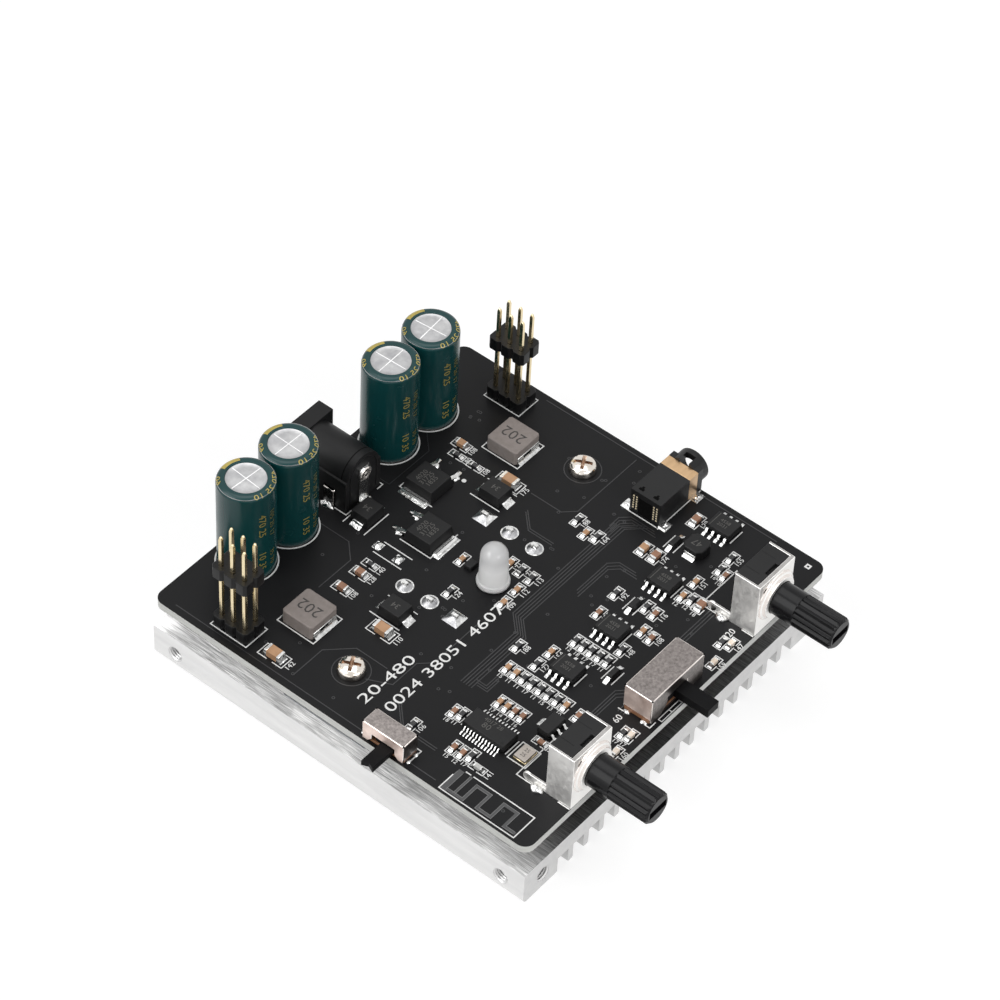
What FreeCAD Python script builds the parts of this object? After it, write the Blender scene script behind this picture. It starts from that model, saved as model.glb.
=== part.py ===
import FreeCAD, Part
import math
import os

# Driver unit of a desktop resonant transformer: a square circuit board carried on a finned heatsink.
# Frame: millimetres, +X right, +Y back, +Z up. The origin lies on the underside of the heatsink, at the
# centre of its square plan, so the unit stands on Z = 0 with its controls along the front edge.

Vector = FreeCAD.Vector
Y_AXIS = Vector(0, 1, 0)
Z_AXIS = Vector(0, 0, 1)
quarter_turn = 90
half_turn = 180
full_turn = 360
near = 0.01               # how close two levels are to count as one

# ---- Fits ----
fixed_gap = 0.02          # round a piece that is pressed or moulded into another
running_gap = 0.05        # round a turning shaft, on the radius
sliding_gap = 0.15        # round a switch slider
hole_gap = 0.10           # round a lead in its board hole, on each side
solder_stub = 1.2         # how far a lead shows below the board
sheet = 0.3               # sheet metal of the switch shells and contacts

# ---- Heatsink and board, both square, one above the other ----
side = 80.0
board_thickness = 1.6
board_corner_radius = 2.0
sink_height = 7.0
sink_plate = 3.6
sink_edge_radius = 1.0
channel_pitch = 4.0
channel_width = 2.7
channel_count = 16
fin_tip_chamfer = 0.25
side_hole_inset = 4.8
side_hole_drop = 3.8
side_hole_depth = 3.0

# ---- Output transistors, lying between heatsink and board ----
pad_thickness = 0.2
pad_border = 0.8
case_length = 20.8
case_width = 15.8
case_height = 5.0
case_chamfer = 0.6
screw_inset = 6.0         # screw centre from the case's outer end
tab_length = 15.0
tab_width = 13.2
lead_pitch = 5.45
lead_width = 1.2
lead_thickness = 0.6
lead_level = 2.4          # centre of the leads above the pad
lead_row = 10.45          # distance of the upright leads from the middle
lead_root = 2.5           # length of a lead held in the case
transistor_x = 30.2       # screw centres
transistor_y = 5.0
screw_radius = 1.5
screw_length = 10.0
screw_head_radius = 2.45
screw_head_height = 1.9
screw_crown = 0.5         # height of the head's domed edge

# ---- Electrolytic capacitors along the back ----
capacitor_places = (-23.4, -12.96, 12.96, 23.4)
capacitor_y = 34.0
capacitor_height = 20.1
can_radius = 4.9
sleeve_thickness = 0.13
sleeve_rim = 0.35         # depth of the turned-over rim
sleeve_chamfer = 0.3
top_disc_radius = 3.5
capacitor_lead_pitch = 5.0
round_lead = 0.6          # width of the leads of capacitors and status light

# ---- Barrel power socket at the middle of the back edge ----
jack_width = 9.0
jack_height = 11.0
jack_axis = 6.5
jack_rear = 28.7
jack_front = 42.6
jack_rear_wall = 1.9
jack_flange = 3.2
jack_base_height = 6.9
jack_barrel_radius = 4.1
jack_mouth_radius = 3.15
jack_pin_radius = 1.05
jack_pin_recess = 1.0
jack_rivet_radius = 1.5
jack_rivet_height = 0.5
jack_strip_width = 2.5
jack_spring_width = 2.2
jack_spring_start = 33.0
jack_spring_end = 39.5
jack_pocket_start = 31.0
jack_pocket_end = 33.6
jack_pocket_height = 4.1
jack_pocket_depth = 1.4

# ---- 3.5 mm audio socket at the right-hand edge ----
audio_y = -9.8
audio_width = 6.35
audio_height = 5.0
audio_inner_end = 28.4
audio_shield_start = 36.4
audio_plate_start = 38.8
audio_plate_end = 40.15
audio_nose_end = 41.9
audio_nose_radius = 3.1
audio_axis = 2.75
audio_bore_radius = 1.8
audio_bore_end = 29.6
audio_window = 2.0
audio_spring_width = 1.4
audio_tab = 1.6
audio_tab_reach = 1.4
audio_near_tabs = (29.0, 38.0)
audio_far_tabs = (29.0, 36.9)

# ---- Rotary controls along the front edge ----
pot_places = (-24.2, 24.2)
pot_width = 9.6
pot_height = 11.8
pot_front = -40.0
pot_body_back = -34.8
pot_plate = 0.8
pot_arm = 0.45
pot_foot_end = -30.9
pot_foot_height = 1.8
pot_leg_y = -33.2
pot_leg_width = 1.6
pot_axis = 6.5
pot_notch_width = 3.0
pot_notch_depth = 0.8
collar_radius = 3.9
collar_length = 1.0
shaft_radius = 3.0
shaft_tip = -53.3
shaft_inner_end = -36.6
spline_start = -45.4
spline_teeth = 18
spline_depth = 0.34
shaft_tip_chamfer = 0.5
slot_length = 4.2
slot_width = 1.5
slot_depth = 1.6
pot_lead_pitch = 2.5
pot_lead_width = 0.8

# ---- Slide switches: length along the edge, depth across it, height ----
power_switch = {
    "centre": 0.0, "edge": -38.8, "length": 13.8, "depth": 5.8, "height": 5.6,
    "lever_width": 2.9, "lever_bottom": 1.2, "lever_height": 1.8, "lever_reach": 6.6, "travel": 1.9,
    "post_chamfer": 1.8, "base_height": 0.8, "lead_pitch": 3.0,
}
mode_switch = {
    "centre": -9.75, "edge": -39.6, "length": 8.7, "depth": 3.6, "height": 4.1,
    "lever_width": 2.5, "lever_bottom": 0.7, "lever_height": 1.2, "lever_reach": 5.0, "travel": 1.9,
    "post_chamfer": 0.8, "base_height": 0.5, "lead_pitch": 2.0,
}
lever_notch = 0.5         # depth of the notch in the mode lever's tip

# ---- Status light ----
light_seat = 0.3
light_height = 8.8
light_radius = 2.5
light_flange_radius = 2.9
light_flange_height = 1.0
light_lead_pitch = 2.54

# ---- Tall pin headers: a block on the board, a raised block and six pins each ----
header_x = 35.25
header_y = 25.1
header_pitch = 2.54
header_columns = 2
header_rows = 3
header_block = 2.54
header_notch = 0.5
header_raised = 11.9
pin_width = 0.64
pin_top = 21.07
pin_taper = 0.7

# ---- Inductors: (x, y, turn), then (width, length over the end plates, height, corner cut) ----
large_inductors = ((-26.4, 17.4, 0), (26.4, 17.4, 0))
large_inductor_body = (6.6, 6.9, 2.9, 0.4)
small_inductors = ((28.3, -21.1, quarter_turn),)
small_inductor_body = (4.0, 4.2, 1.9, 0.8)
inductor_top_chamfer = 0.15
inductor_end_plate = 0.15

# ---- Driver transistors with heat tabs: (x, y, turn in degrees); the tab points along the turn ----
driver_transistors = ((9.6, 22.3, half_turn), (0.7, 14.6, -quarter_turn))
driver_body = (6.0, 6.5, 2.3)
driver_draft = 0.4
driver_tab = (1.2, 5.3, 0.5)
driver_pin_pitch = 4.57
driver_pin_width = 0.8
driver_pin_reach = 2.9
driver_pin_foot = 1.2

# ---- Diodes: (x, y, along y) ----
large_diodes = ((-2.6, 25.4, False), (15.4, 12.2, True), (-16.1, 7.6, True))
large_diode_body = (4.7, 4.0, 2.2)
small_diodes = ((27.1, -17.4, False), (11.6, -20.9, False), (-2.6, -27.7, False))
small_diode_body = (2.6, 1.5, 1.0)
diode_draft = 0.25
diode_lead_reach = 0.6
diode_lead_thickness = 0.2
diode_lead_share = 0.55   # width of a lead as a share of the body's

# ---- Chip packages ----
eight_lead_chips = ((35.1, -21.6), (18.7, -21.6), (4.7, -21.7), (-7.0, -21.6))
eight_lead_body = (3.9, 4.9, 1.5)
eight_lead_pitch = 1.27
eight_lead_count = 4      # leads on each side
eight_lead_width = 0.42
long_chip = (-25.4, -20.4)
long_chip_body = (3.9, 8.65, 1.5)
long_chip_pitch = 0.635
long_chip_lead_width = 0.3
long_chip_count = 12
regulator = (-18.1, -27.2)
regulator_body = (2.5, 4.5, 1.5)
regulator_pitch = 1.5
regulator_count = 3
regulator_tab_width = 1.8
leadless_chip = (0.25, 5.0)
leadless_body = (2.0, 1.6, 0.95)
lead_reach = 1.05
lead_foot = 0.6
lead_sheet = 0.2
lead_shoulder = 0.75      # height at which a lead leaves its package
package_seat = 0.1        # gap under a package
crystal = (-25.3, -27.6)
crystal_body = (3.2, 2.5, 0.8)
indicator_places = ((15.5, -38.2), (10.4, -38.5), (-10.9, -37.9), (-15.2, -38.2))
indicator_body = (1.6, 0.8, 0.7)
mode_indicator = (-32.3, -23.6)

# ---- Chip capacitors and resistors: bodies (length, width, height) ----
small_chip = (1.6, 0.8, 0.5)
middle_chip = (2.0, 1.25, 0.85)
large_chip = (3.2, 1.8, 1.3)

# Capacitors lying along X, small then middle size
capacitors_x = (
    (7.8, -27.5), (0.5, 7.1), (5.2, 0.5), (1.3, -4.1), (-2.3, -4.2), (18.9, -4.7), (6.4, -17.5),
    (12.4, -24.7), (8.1, -25.5), (18.6, -25.7), (22.5, -25.4), (26.9, -28.3), (-5.5, -17.0),
    (-25.7, -13.2), (-31.5, -18.0), (-31.5, -19.8), (-13.2, -28.9),
)
capacitors_y = ((-21.5, -27.9),)
middle_capacitors_x = ((22.6, -14.3), (22.6, -16.8), (33.6, -16.9), (18.9, -29.3))
middle_capacitors_y = ((-13.2, 17.8), (-17.7, 17.9), (20.8, 24.2))
large_capacitors_y = ((19.4, 12.4), (-20.4, 6.7), (-36.1, 16.5))

# Resistors lying along X and along Y
resistors_x = (
    (5.1, -1.9), (4.9, -4.3), (-6.4, 4.0), (20.4, -1.8), (19.5, -6.7), (11.7, -17.0), (12.7, -22.7),
    (19.0, -27.4), (30.7, -26.7), (27.5, -26.9), (2.6, -25.5), (-8.1, -12.1), (-9.1, -16.9),
    (-32.3, -10.0), (14.8, -36.8), (-11.2, -36.6), (-25.4, -14.6), (-31.0, -21.3),
)
resistors_y = ((-10.6, 17.8), (18.4, 23.2), (18.4, 19.2))

# Straight rows of chips that lie along X, stepping towards the front: (x, first y, step, kinds)
chip_rows = (
    (-12.8, -13.8, 1.75, "ccrrrrrc"),
    (-0.9, -18.6, 1.68, "rrrrr"),
    (-19.3, -17.5, 1.57, "cccc"),
)

# ---- Levels ----
half = side / 2
pad_top = sink_height + pad_thickness
board_bottom = pad_top + case_height
board_top = board_bottom + board_thickness
lead_end = board_bottom - solder_stub
tapped_radius = screw_radius + fixed_gap

board_holes = []


# ---- Shapes ----

def block(x0, x1, y0, y1, z0, z1):
    """Box between two limits on each axis."""
    return Part.makeBox(x1 - x0, y1 - y0, z1 - z0, Vector(x0, y0, z0))


def slab(x, y, length_x, length_y, z0, z1):
    """Box centred on (x, y) between two heights."""
    return block(x - length_x / 2, x + length_x / 2, y - length_y / 2, y + length_y / 2, z0, z1)


def rod(radius, start, end):
    """Cylinder from one point to another."""
    run = end - start
    return Part.makeCylinder(radius, run.Length, start, run)


def upright_hole(radius, x, y, z0, z1):
    """Cylinder about an upright axis between two heights."""
    return rod(radius, Vector(x, y, z0), Vector(x, y, z1))


def prism(points, sweep):
    """Solid swept from a closed outline of points."""
    return Part.Face(Part.makePolygon(points + points[:1])).extrude(sweep)


def turned(outline, place):
    """Solid turned about an upright axis from (radius, height) points."""
    points = [Vector(radius, 0, height) for radius, height in outline]
    solid = Part.Face(Part.makePolygon(points + points[:1])).revolve(Vector(), Z_AXIS, full_turn)
    solid.translate(place)
    return solid


def frustum(x, y, lower, upper, z0, z1):
    """Square-sided body between a lower and an upper rectangle, each (length x, length y)."""
    rings = []
    for (length_x, length_y), z in ((lower, z0), (upper, z1)):
        rings.append([Vector(x + sx * length_x / 2, y + sy * length_y / 2, z)
                      for sx, sy in ((-1, -1), (1, -1), (1, 1), (-1, 1))])
    low, high = rings
    outlines = [low, high]
    for number in range(4):
        after = (number + 1) % 4
        outlines.append([low[number], low[after], high[after], high[number]])
    faces = [Part.Face(Part.makePolygon(points + points[:1])) for points in outlines]
    return Part.makeSolid(Part.makeShell(faces))


def joined(pieces):
    """One solid from overlapping or touching pieces."""
    return pieces[0].multiFuse(pieces[1:]).removeSplitter()


def turned_copy(solid, angle, x, y):
    """Copy turned about the upright axis through (x, y)."""
    copy = solid.copy()
    copy.rotate(Vector(x, y, 0), Z_AXIS, angle)
    return copy


def edges_along(solid, axis, test):
    """Straight edges parallel to an axis whose middle passes a test."""
    found = []
    for edge in solid.Edges:
        run = edge.Vertexes[-1].Point - edge.Vertexes[0].Point
        if run.Length > near and run.cross(axis).Length < near and test(edge.CenterOfMass):
            found.append(edge)
    return found


def export(name, *pieces):
    """Write the solids of one named sub-part."""
    solids = [solid for piece in pieces for solid in piece.Solids]
    whole = solids[0] if len(solids) == 1 else Part.makeCompound(solids)
    whole.exportStep(f"parts/{name}.step")


def board_hole(x, y, length_x, length_y):
    """Note a plated hole for a lead of the given section."""
    board_holes.append(slab(x, y, length_x + 2 * hole_gap, length_y + 2 * hole_gap, board_bottom, board_top))


def board_lead(x, y, length_x, length_y, top):
    """Straight lead through the board, with its hole."""
    board_hole(x, y, length_x, length_y)
    return slab(x, y, length_x, length_y, lead_end, top)


# ---- Heatsink ----

def heatsink():
    """Extruded plate with channels below, tapped from above for the screws and from its edges for legs."""
    outline = [Vector(half, -half, sink_height), Vector(half, -half, 0)]
    fin_height = sink_height - sink_plate
    for number in reversed(range(channel_count)):
        middle = (number - (channel_count - 1) / 2) * channel_pitch
        mouth = channel_width / 2 + fin_tip_chamfer
        wall = channel_width / 2
        for offset, z in ((mouth, 0), (wall, fin_tip_chamfer), (wall, fin_height),
                          (-wall, fin_height), (-wall, fin_tip_chamfer), (-mouth, 0)):
            outline.append(Vector(middle + offset, -half, z))
    outline += [Vector(-half, -half, 0), Vector(-half, -half, sink_height)]
    body = prism(outline, Vector(0, side, 0))
    outer = edges_along(body, Y_AXIS, lambda middle: middle.z < near and abs(middle.x) > half - near)
    body = body.makeFillet(sink_edge_radius, outer)
    holes = []
    for x in (-transistor_x, transistor_x):
        holes.append(upright_hole(tapped_radius, x, transistor_y, 0, sink_height))
    reach = half - side_hole_inset
    z = sink_height - side_hole_drop
    for place in (-reach, reach):
        holes.append(rod(tapped_radius, Vector(place, -half, z), Vector(place, side_hole_depth - half, z)))
        holes.append(rod(tapped_radius, Vector(-half, place, z), Vector(side_hole_depth - half, place, z)))
    return body.cut(holes)


# ---- Output transistors ----

def output_transistor():
    """Case, leadframe and pad of the right-hand transistor, its leads towards the middle."""
    x, y = transistor_x, transistor_y
    outer = x + screw_inset
    inner = outer - case_length
    lead_bottom = pad_top + lead_level - lead_thickness / 2
    lead_top = lead_bottom + lead_thickness
    hole = upright_hole(screw_radius + sliding_gap, x, y, sink_height, board_bottom)

    pad = block(inner - pad_border, outer + pad_border, y - case_width / 2 - pad_border,
                y + case_width / 2 + pad_border, sink_height, pad_top).cut(hole)

    tab = block(outer - tab_length, outer, y - tab_width / 2, y + tab_width / 2, pad_top, lead_bottom)
    bend = lead_row + lead_thickness / 2
    profile = [(inner + lead_root, lead_bottom), (bend - lead_thickness, lead_bottom),
               (bend - lead_thickness, board_top + solder_stub), (bend, board_top + solder_stub),
               (bend, lead_top), (inner + lead_root, lead_top)]
    leads = []
    for number in (-1, 0, 1):
        lead_y = y + number * lead_pitch
        leads.append(prism([Vector(px, lead_y - lead_width / 2, pz) for px, pz in profile],
                           Vector(0, lead_width, 0)))
        for side_sign in (-1, 1):
            board_holes.append(slab(side_sign * lead_row, lead_y, lead_thickness + 2 * hole_gap,
                                    lead_width + 2 * hole_gap, board_bottom, board_top))
    link = block(inner + lead_root, outer - tab_length, y - lead_width / 2, y + lead_width / 2,
                 pad_top + lead_thickness, lead_top)
    frame = [joined([tab, link, leads[1]]).cut(hole), leads[0], leads[2]]

    case = block(inner, outer, y - case_width / 2, y + case_width / 2, pad_top, board_bottom)
    upper = [edge for edge in case.Edges if edge.CenterOfMass.z > board_bottom - near]
    case = case.makeChamfer(case_chamfer, upper)
    case = case.cut([hole] + frame)
    return case, frame, pad


def transistor_screw(x):
    """Pan-head screw through board and transistor, its thread in the heatsink."""
    shoulder = screw_head_height - screw_crown
    outline = [(0, -screw_length), (screw_radius, -screw_length), (screw_radius, 0), (screw_head_radius, 0),
               (screw_head_radius, shoulder), (screw_head_radius - screw_crown, screw_head_height),
               (0, screw_head_height)]
    return turned(outline, Vector(x, transistor_y, board_top))


# ---- Capacitors and status light ----

def capacitor(x):
    """Sleeve with its turned-over rim, can and leads of one electrolytic capacitor."""
    place = Vector(x, capacitor_y, board_top)
    can_top = capacitor_height - sleeve_rim
    inside = can_radius + fixed_gap
    outside = inside + sleeve_thickness
    can = Part.makeCylinder(can_radius, can_top, place)
    sleeve = turned([(inside, 0), (outside, 0), (outside, capacitor_height - sleeve_chamfer),
                     (outside - sleeve_chamfer, capacitor_height), (top_disc_radius, capacitor_height),
                     (top_disc_radius, can_top), (inside, can_top)], place)
    leads = [board_lead(x, capacitor_y + s * capacitor_lead_pitch / 2, round_lead, round_lead, board_top)
             for s in (-1, 1)]
    return sleeve, can, leads


def status_light():
    """Milky lens with its flange, and the two leads that it stands on."""
    base = board_top + light_seat
    shoulder = light_height - light_radius
    outline = [Vector(0, 0, 0), Vector(light_flange_radius, 0, 0),
               Vector(light_flange_radius, 0, light_flange_height),
               Vector(light_radius, 0, light_flange_height), Vector(light_radius, 0, shoulder)]
    crown = Vector(0, 0, light_height)
    middle = Vector(light_radius * math.cos(math.pi / 4), 0, shoulder + light_radius * math.sin(math.pi / 4))
    dome = Part.Arc(outline[-1], middle, crown).toShape()
    wire = Part.Wire(Part.makePolygon(outline).Edges + [dome, Part.makeLine(crown, outline[0])])
    lens = Part.Face(wire).revolve(Vector(), Z_AXIS, full_turn)
    lens.translate(Vector(0, 0, base))
    leads = [board_lead(s * light_lead_pitch / 2, 0, round_lead, round_lead, base) for s in (-1, 1)]
    return lens, leads


# ---- Barrel power socket ----

def power_socket():
    """Moulded housing open to the back, riveted centre pin with its strip, and two contacts."""
    axis = board_top + jack_axis
    reach = jack_width / 2
    barrel_end = jack_front - jack_flange
    rear_wall = jack_rear + jack_rear_wall
    base = block(-reach, reach, jack_rear, jack_front, board_top, board_top + jack_base_height)
    flange = block(-reach, reach, barrel_end, jack_front, board_top, board_top + jack_height)
    barrel = rod(jack_barrel_radius, Vector(0, jack_rear, axis), Vector(0, jack_front, axis))
    housing = joined([base, flange, barrel])

    mouth = rod(jack_mouth_radius, Vector(0, rear_wall, axis), Vector(0, jack_front, axis))
    pocket = block(-reach, jack_pocket_depth - reach, jack_pocket_start, jack_pocket_end,
                   board_top, board_top + jack_pocket_height)
    pin_hole = rod(jack_pin_radius, Vector(0, jack_rear, axis), Vector(0, rear_wall, axis))
    spring_top = axis - jack_mouth_radius + sheet
    spring_slot = block(-jack_spring_width / 2, jack_spring_width / 2, jack_spring_start, jack_spring_end,
                        spring_top - 2 * sheet, axis)
    spring_slot = spring_slot.common(block(-reach, reach, jack_rear, jack_front, board_top, spring_top))
    leg_slot = block(-jack_spring_width / 2, jack_spring_width / 2,
                     jack_spring_start, jack_spring_start + sheet, board_top, spring_top)
    housing = housing.cut([mouth, pocket, pin_hole, spring_slot, leg_slot])

    pin = rod(jack_pin_radius, Vector(0, jack_rear, axis), Vector(0, jack_front - jack_pin_recess, axis))
    rivet = rod(jack_rivet_radius, Vector(0, jack_rear - jack_rivet_height, axis), Vector(0, jack_rear, axis))
    strip_y = jack_rear - sheet
    strip = block(-jack_strip_width / 2, jack_strip_width / 2, strip_y, jack_rear, lead_end,
                  axis + jack_rivet_radius)
    board_hole(0, jack_rear - sheet / 2, jack_strip_width, sheet)
    pin = joined([pin, rivet, strip])

    spring = block(-jack_spring_width / 2, jack_spring_width / 2, jack_spring_start, jack_spring_end,
                   spring_top - sheet, spring_top)
    leg = board_lead(0, jack_spring_start + sheet / 2, jack_spring_width, sheet, spring_top)
    side_x = -reach - sheet / 2
    side_y = (jack_pocket_start + jack_pocket_end) / 2
    side_width = jack_pocket_end - jack_pocket_start - 2 * sliding_gap
    side_top = board_top + jack_pocket_height - sheet
    side_leg = board_lead(side_x, side_y, sheet, side_width, side_top)
    side_arm = block(-reach - sheet, jack_pocket_depth - reach,
                     side_y - side_width / 2, side_y + side_width / 2, side_top - sheet, side_top)
    return housing, pin, [joined([spring, leg]), joined([side_leg, side_arm])]


# ---- Audio socket ----

def audio_socket():
    """Moulded body with its nose over the board's edge, brass shield band, spring and solder tabs."""
    axis = board_top + audio_axis
    top = board_top + audio_height
    reach = audio_width / 2
    y0, y1 = audio_y - reach, audio_y + reach
    case = block(audio_inner_end, audio_plate_end, y0, y1, board_top, top)
    nose = rod(audio_nose_radius, Vector(audio_plate_end, audio_y, axis),
               Vector(audio_nose_end, audio_y, axis))
    brow = rod(audio_nose_radius, Vector(audio_plate_start, audio_y, axis),
               Vector(audio_plate_end, audio_y, axis))
    brow = brow.common(block(audio_plate_start, audio_plate_end, y0, y1, axis, axis + audio_nose_radius))
    body = joined([case, nose, brow])

    bore = rod(audio_bore_radius, Vector(audio_bore_end, audio_y, axis),
               Vector(audio_nose_end, audio_y, axis))
    window = block(audio_plate_start, audio_plate_start + audio_window, audio_y - audio_window / 2,
                   audio_y + audio_window / 2, axis, axis + audio_nose_radius)
    band = block(audio_shield_start, audio_plate_start, y0, y1, board_top, top)
    band = band.cut(block(audio_shield_start, audio_plate_start, y0 + sheet, y1 - sheet,
                          board_top, top - sheet))
    spring_z = axis + audio_bore_radius
    spring = block(audio_bore_end, audio_plate_start, audio_y - audio_spring_width / 2,
                   audio_y + audio_spring_width / 2, spring_z - sheet, spring_z)
    body = body.cut([bore, window, band, spring])
    spring = spring.cut(bore)

    tabs = []
    for places, y, sign in ((audio_near_tabs, y0, -1), (audio_far_tabs, y1, 1)):
        for x in places:
            tabs.append(slab(x, y + sign * audio_tab_reach / 2, audio_tab, audio_tab_reach,
                             board_top, board_top + sheet))
    return body, band, [spring] + tabs


# ---- Rotary controls ----

def pot_bracket(x):
    """Front plate with its collar, side arms and the low feet that are soldered to the board."""
    axis = board_top + pot_axis
    top = board_top + pot_height
    reach = pot_width / 2
    plate = block(x - reach, x + reach, pot_front, pot_front + pot_plate, board_top, top)
    collar = rod(collar_radius, Vector(x, pot_front + pot_plate, axis),
                 Vector(x, pot_front - collar_length, axis))
    pieces = [plate, collar]
    for sign in (-1, 1):
        inner, outer = sorted((x + sign * (reach - pot_arm), x + sign * reach))
        pieces.append(block(inner, outer, pot_front, pot_body_back, board_top, top))
        pieces.append(block(inner, outer, pot_body_back, pot_foot_end,
                            board_top, board_top + pot_foot_height))
        pieces.append(board_lead((inner + outer) / 2, pot_leg_y, pot_arm, pot_leg_width, board_top))
    bore = rod(shaft_radius + running_gap, Vector(x, pot_front + pot_plate, axis),
               Vector(x, pot_front - collar_length, axis))
    return joined(pieces).cut(bore)


def pot_body(x):
    """Moulded body between the arms, bored for the shaft, with a notch in its top."""
    axis = board_top + pot_axis
    reach = pot_width / 2 - pot_arm
    front = pot_front + pot_plate
    body = block(x - reach, x + reach, front, pot_body_back, board_top, board_top + pot_height)
    bore = rod(shaft_radius + running_gap, Vector(x, front, axis),
               Vector(x, shaft_inner_end + sliding_gap, axis))
    notch = block(x - pot_notch_width / 2, x + pot_notch_width / 2, front, front + pot_notch_depth,
                  board_top + pot_height - pot_notch_depth, board_top + pot_height)
    return body.cut([bore, notch])


def pot_shaft(x):
    """Slotted shaft: a smooth neck in the collar, then splines up to a chamfered tip."""
    axis = board_top + pot_axis
    neck = rod(shaft_radius, Vector(x, spline_start, axis), Vector(x, shaft_inner_end, axis))
    teeth = []
    for number in range(2 * spline_teeth):
        radius = shaft_radius - spline_depth * (number % 2)
        angle = math.pi * number / spline_teeth
        teeth.append(Vector(x + radius * math.cos(angle), spline_start, axis + radius * math.sin(angle)))
    splines = prism(teeth, Vector(0, shaft_tip - spline_start, 0))
    blank = rod(shaft_radius, Vector(x, shaft_tip, axis), Vector(x, spline_start, axis))
    tip = [edge for edge in blank.Edges if abs(edge.CenterOfMass.y - shaft_tip) < near]
    blank = blank.makeChamfer(shaft_tip_chamfer, tip)
    slot = slab(x, shaft_tip + slot_depth / 2, slot_length, slot_depth, axis - slot_width / 2,
                axis + slot_width / 2)
    return joined([neck, splines.common(blank)]).cut(slot)


def pot_leads(x):
    """Three flat terminals behind the body."""
    y = pot_body_back + sheet / 2
    return [board_lead(x + number * pot_lead_pitch, y, pot_lead_width, sheet, board_top + pot_foot_height)
            for number in (-1, 0, 1)]


# ---- Slide switches, built facing the front and turned into place ----

def slide_switch(sizes, notch):
    """Shell, base, slider and leads of a slide switch whose lever points along -Y from y = 0."""
    reach = sizes["length"] / 2
    depth = sizes["depth"]
    top = board_top + sizes["height"]
    lever_half = sizes["lever_width"] / 2
    slot_half = lever_half + sizes["travel"] / 2 + sliding_gap
    lever_z = board_top + sizes["lever_bottom"]
    lever_top = lever_z + sizes["lever_height"]
    base_top = board_top + sizes["base_height"]
    foot = slot_half + sizes["post_chamfer"]

    shell = block(-reach, reach, 0, depth, board_top, top)
    room = block(sheet - reach, reach - sheet, sheet, depth - sheet, board_top, top - sheet)
    doorway = [(-foot, board_top), (-slot_half, base_top + sizes["post_chamfer"] / 2),
               (-slot_half, lever_top + sliding_gap), (slot_half, lever_top + sliding_gap),
               (slot_half, base_top + sizes["post_chamfer"] / 2), (foot, board_top)]
    doorway = prism([Vector(px, 0, pz) for px, pz in doorway], Vector(0, sheet, 0))
    ends = block(-reach, reach, sheet, depth - sheet, board_top, base_top)
    shell = shell.cut([room, doorway, ends])

    base = block(-reach, reach, sheet, depth - sheet, board_top, base_top)
    rest = sizes["travel"] / 2
    carriage_half = reach - sheet - rest - 2 * sliding_gap
    carriage = block(rest - carriage_half, rest + carriage_half, sheet + sliding_gap,
                     depth - sheet - sliding_gap, base_top + sliding_gap, top - sheet - sliding_gap)
    lever = [(rest - lever_half, carriage.BoundBox.YMin), (rest - lever_half, -sizes["lever_reach"]),
             (rest + lever_half, -sizes["lever_reach"]), (rest + lever_half, carriage.BoundBox.YMin)]
    if notch:
        lever.insert(2, (rest, notch - sizes["lever_reach"]))
    lever = prism([Vector(px, py, lever_z) for px, py in lever], Vector(0, 0, lever_top - lever_z))
    leads = [(number * sizes["lead_pitch"], depth / 2) for number in (-1, 0, 1)]
    return shell, base, joined([carriage, lever]), leads


def placed_switch(sizes, turn, notch=0.0):
    """Switch turned about the upright axis and set on its edge of the board, with its leads drilled."""
    shell, base, slider, lead_places = slide_switch(sizes, notch)
    if turn:
        shift = Vector(sizes["edge"], sizes["centre"], 0)
    else:
        shift = Vector(sizes["centre"], sizes["edge"], 0)
    pieces = []
    for solid in (shell, base, slider):
        piece = turned_copy(solid, turn, 0, 0)
        piece.translate(shift)
        pieces.append(piece)
    angle = math.radians(turn)
    leads = []
    for px, py in lead_places:
        x = px * math.cos(angle) - py * math.sin(angle) + shift.x
        y = px * math.sin(angle) + py * math.cos(angle) + shift.y
        leads.append(board_lead(x, y, pin_width, pin_width, board_top))
    return pieces + [leads]


# ---- Pin headers ----

def header_cells(x, y):
    """Pin centres of one header."""
    return [(x + (column - (header_columns - 1) / 2) * header_pitch,
             y + (row - (header_rows - 1) / 2) * header_pitch)
            for column in range(header_columns) for row in range(header_rows)]


def header_moulding(x, y, z):
    """Block of eight-sided cells, one round each pin, with square pin holes."""
    cell = header_pitch / 2
    flat = cell - header_notch
    corners = ((cell, flat), (flat, cell), (-flat, cell), (-cell, flat),
               (-cell, -flat), (-flat, -cell), (flat, -cell), (cell, -flat))
    cells = []
    holes = []
    for px, py in header_cells(x, y):
        cells.append(prism([Vector(px + dx, py + dy, z) for dx, dy in corners], Vector(0, 0, header_block)))
        holes.append(slab(px, py, pin_width + 2 * fixed_gap, pin_width + 2 * fixed_gap, z, z + header_block))
    core = slab(x, y, (header_columns - 1) * header_pitch, (header_rows - 1) * header_pitch,
                z, z + header_block)
    return joined(cells + [core]).cut(holes)


def header_pin(x, y):
    """Square pin with a tapered tip."""
    top = board_top + pin_top
    stem = board_lead(x, y, pin_width, pin_width, top - pin_taper)
    tip = frustum(x, y, (pin_width, pin_width), (pin_width / 2, pin_width / 2), top - pin_taper, top)
    return joined([stem, tip])


# ---- Surface-mounted parts ----

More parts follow.
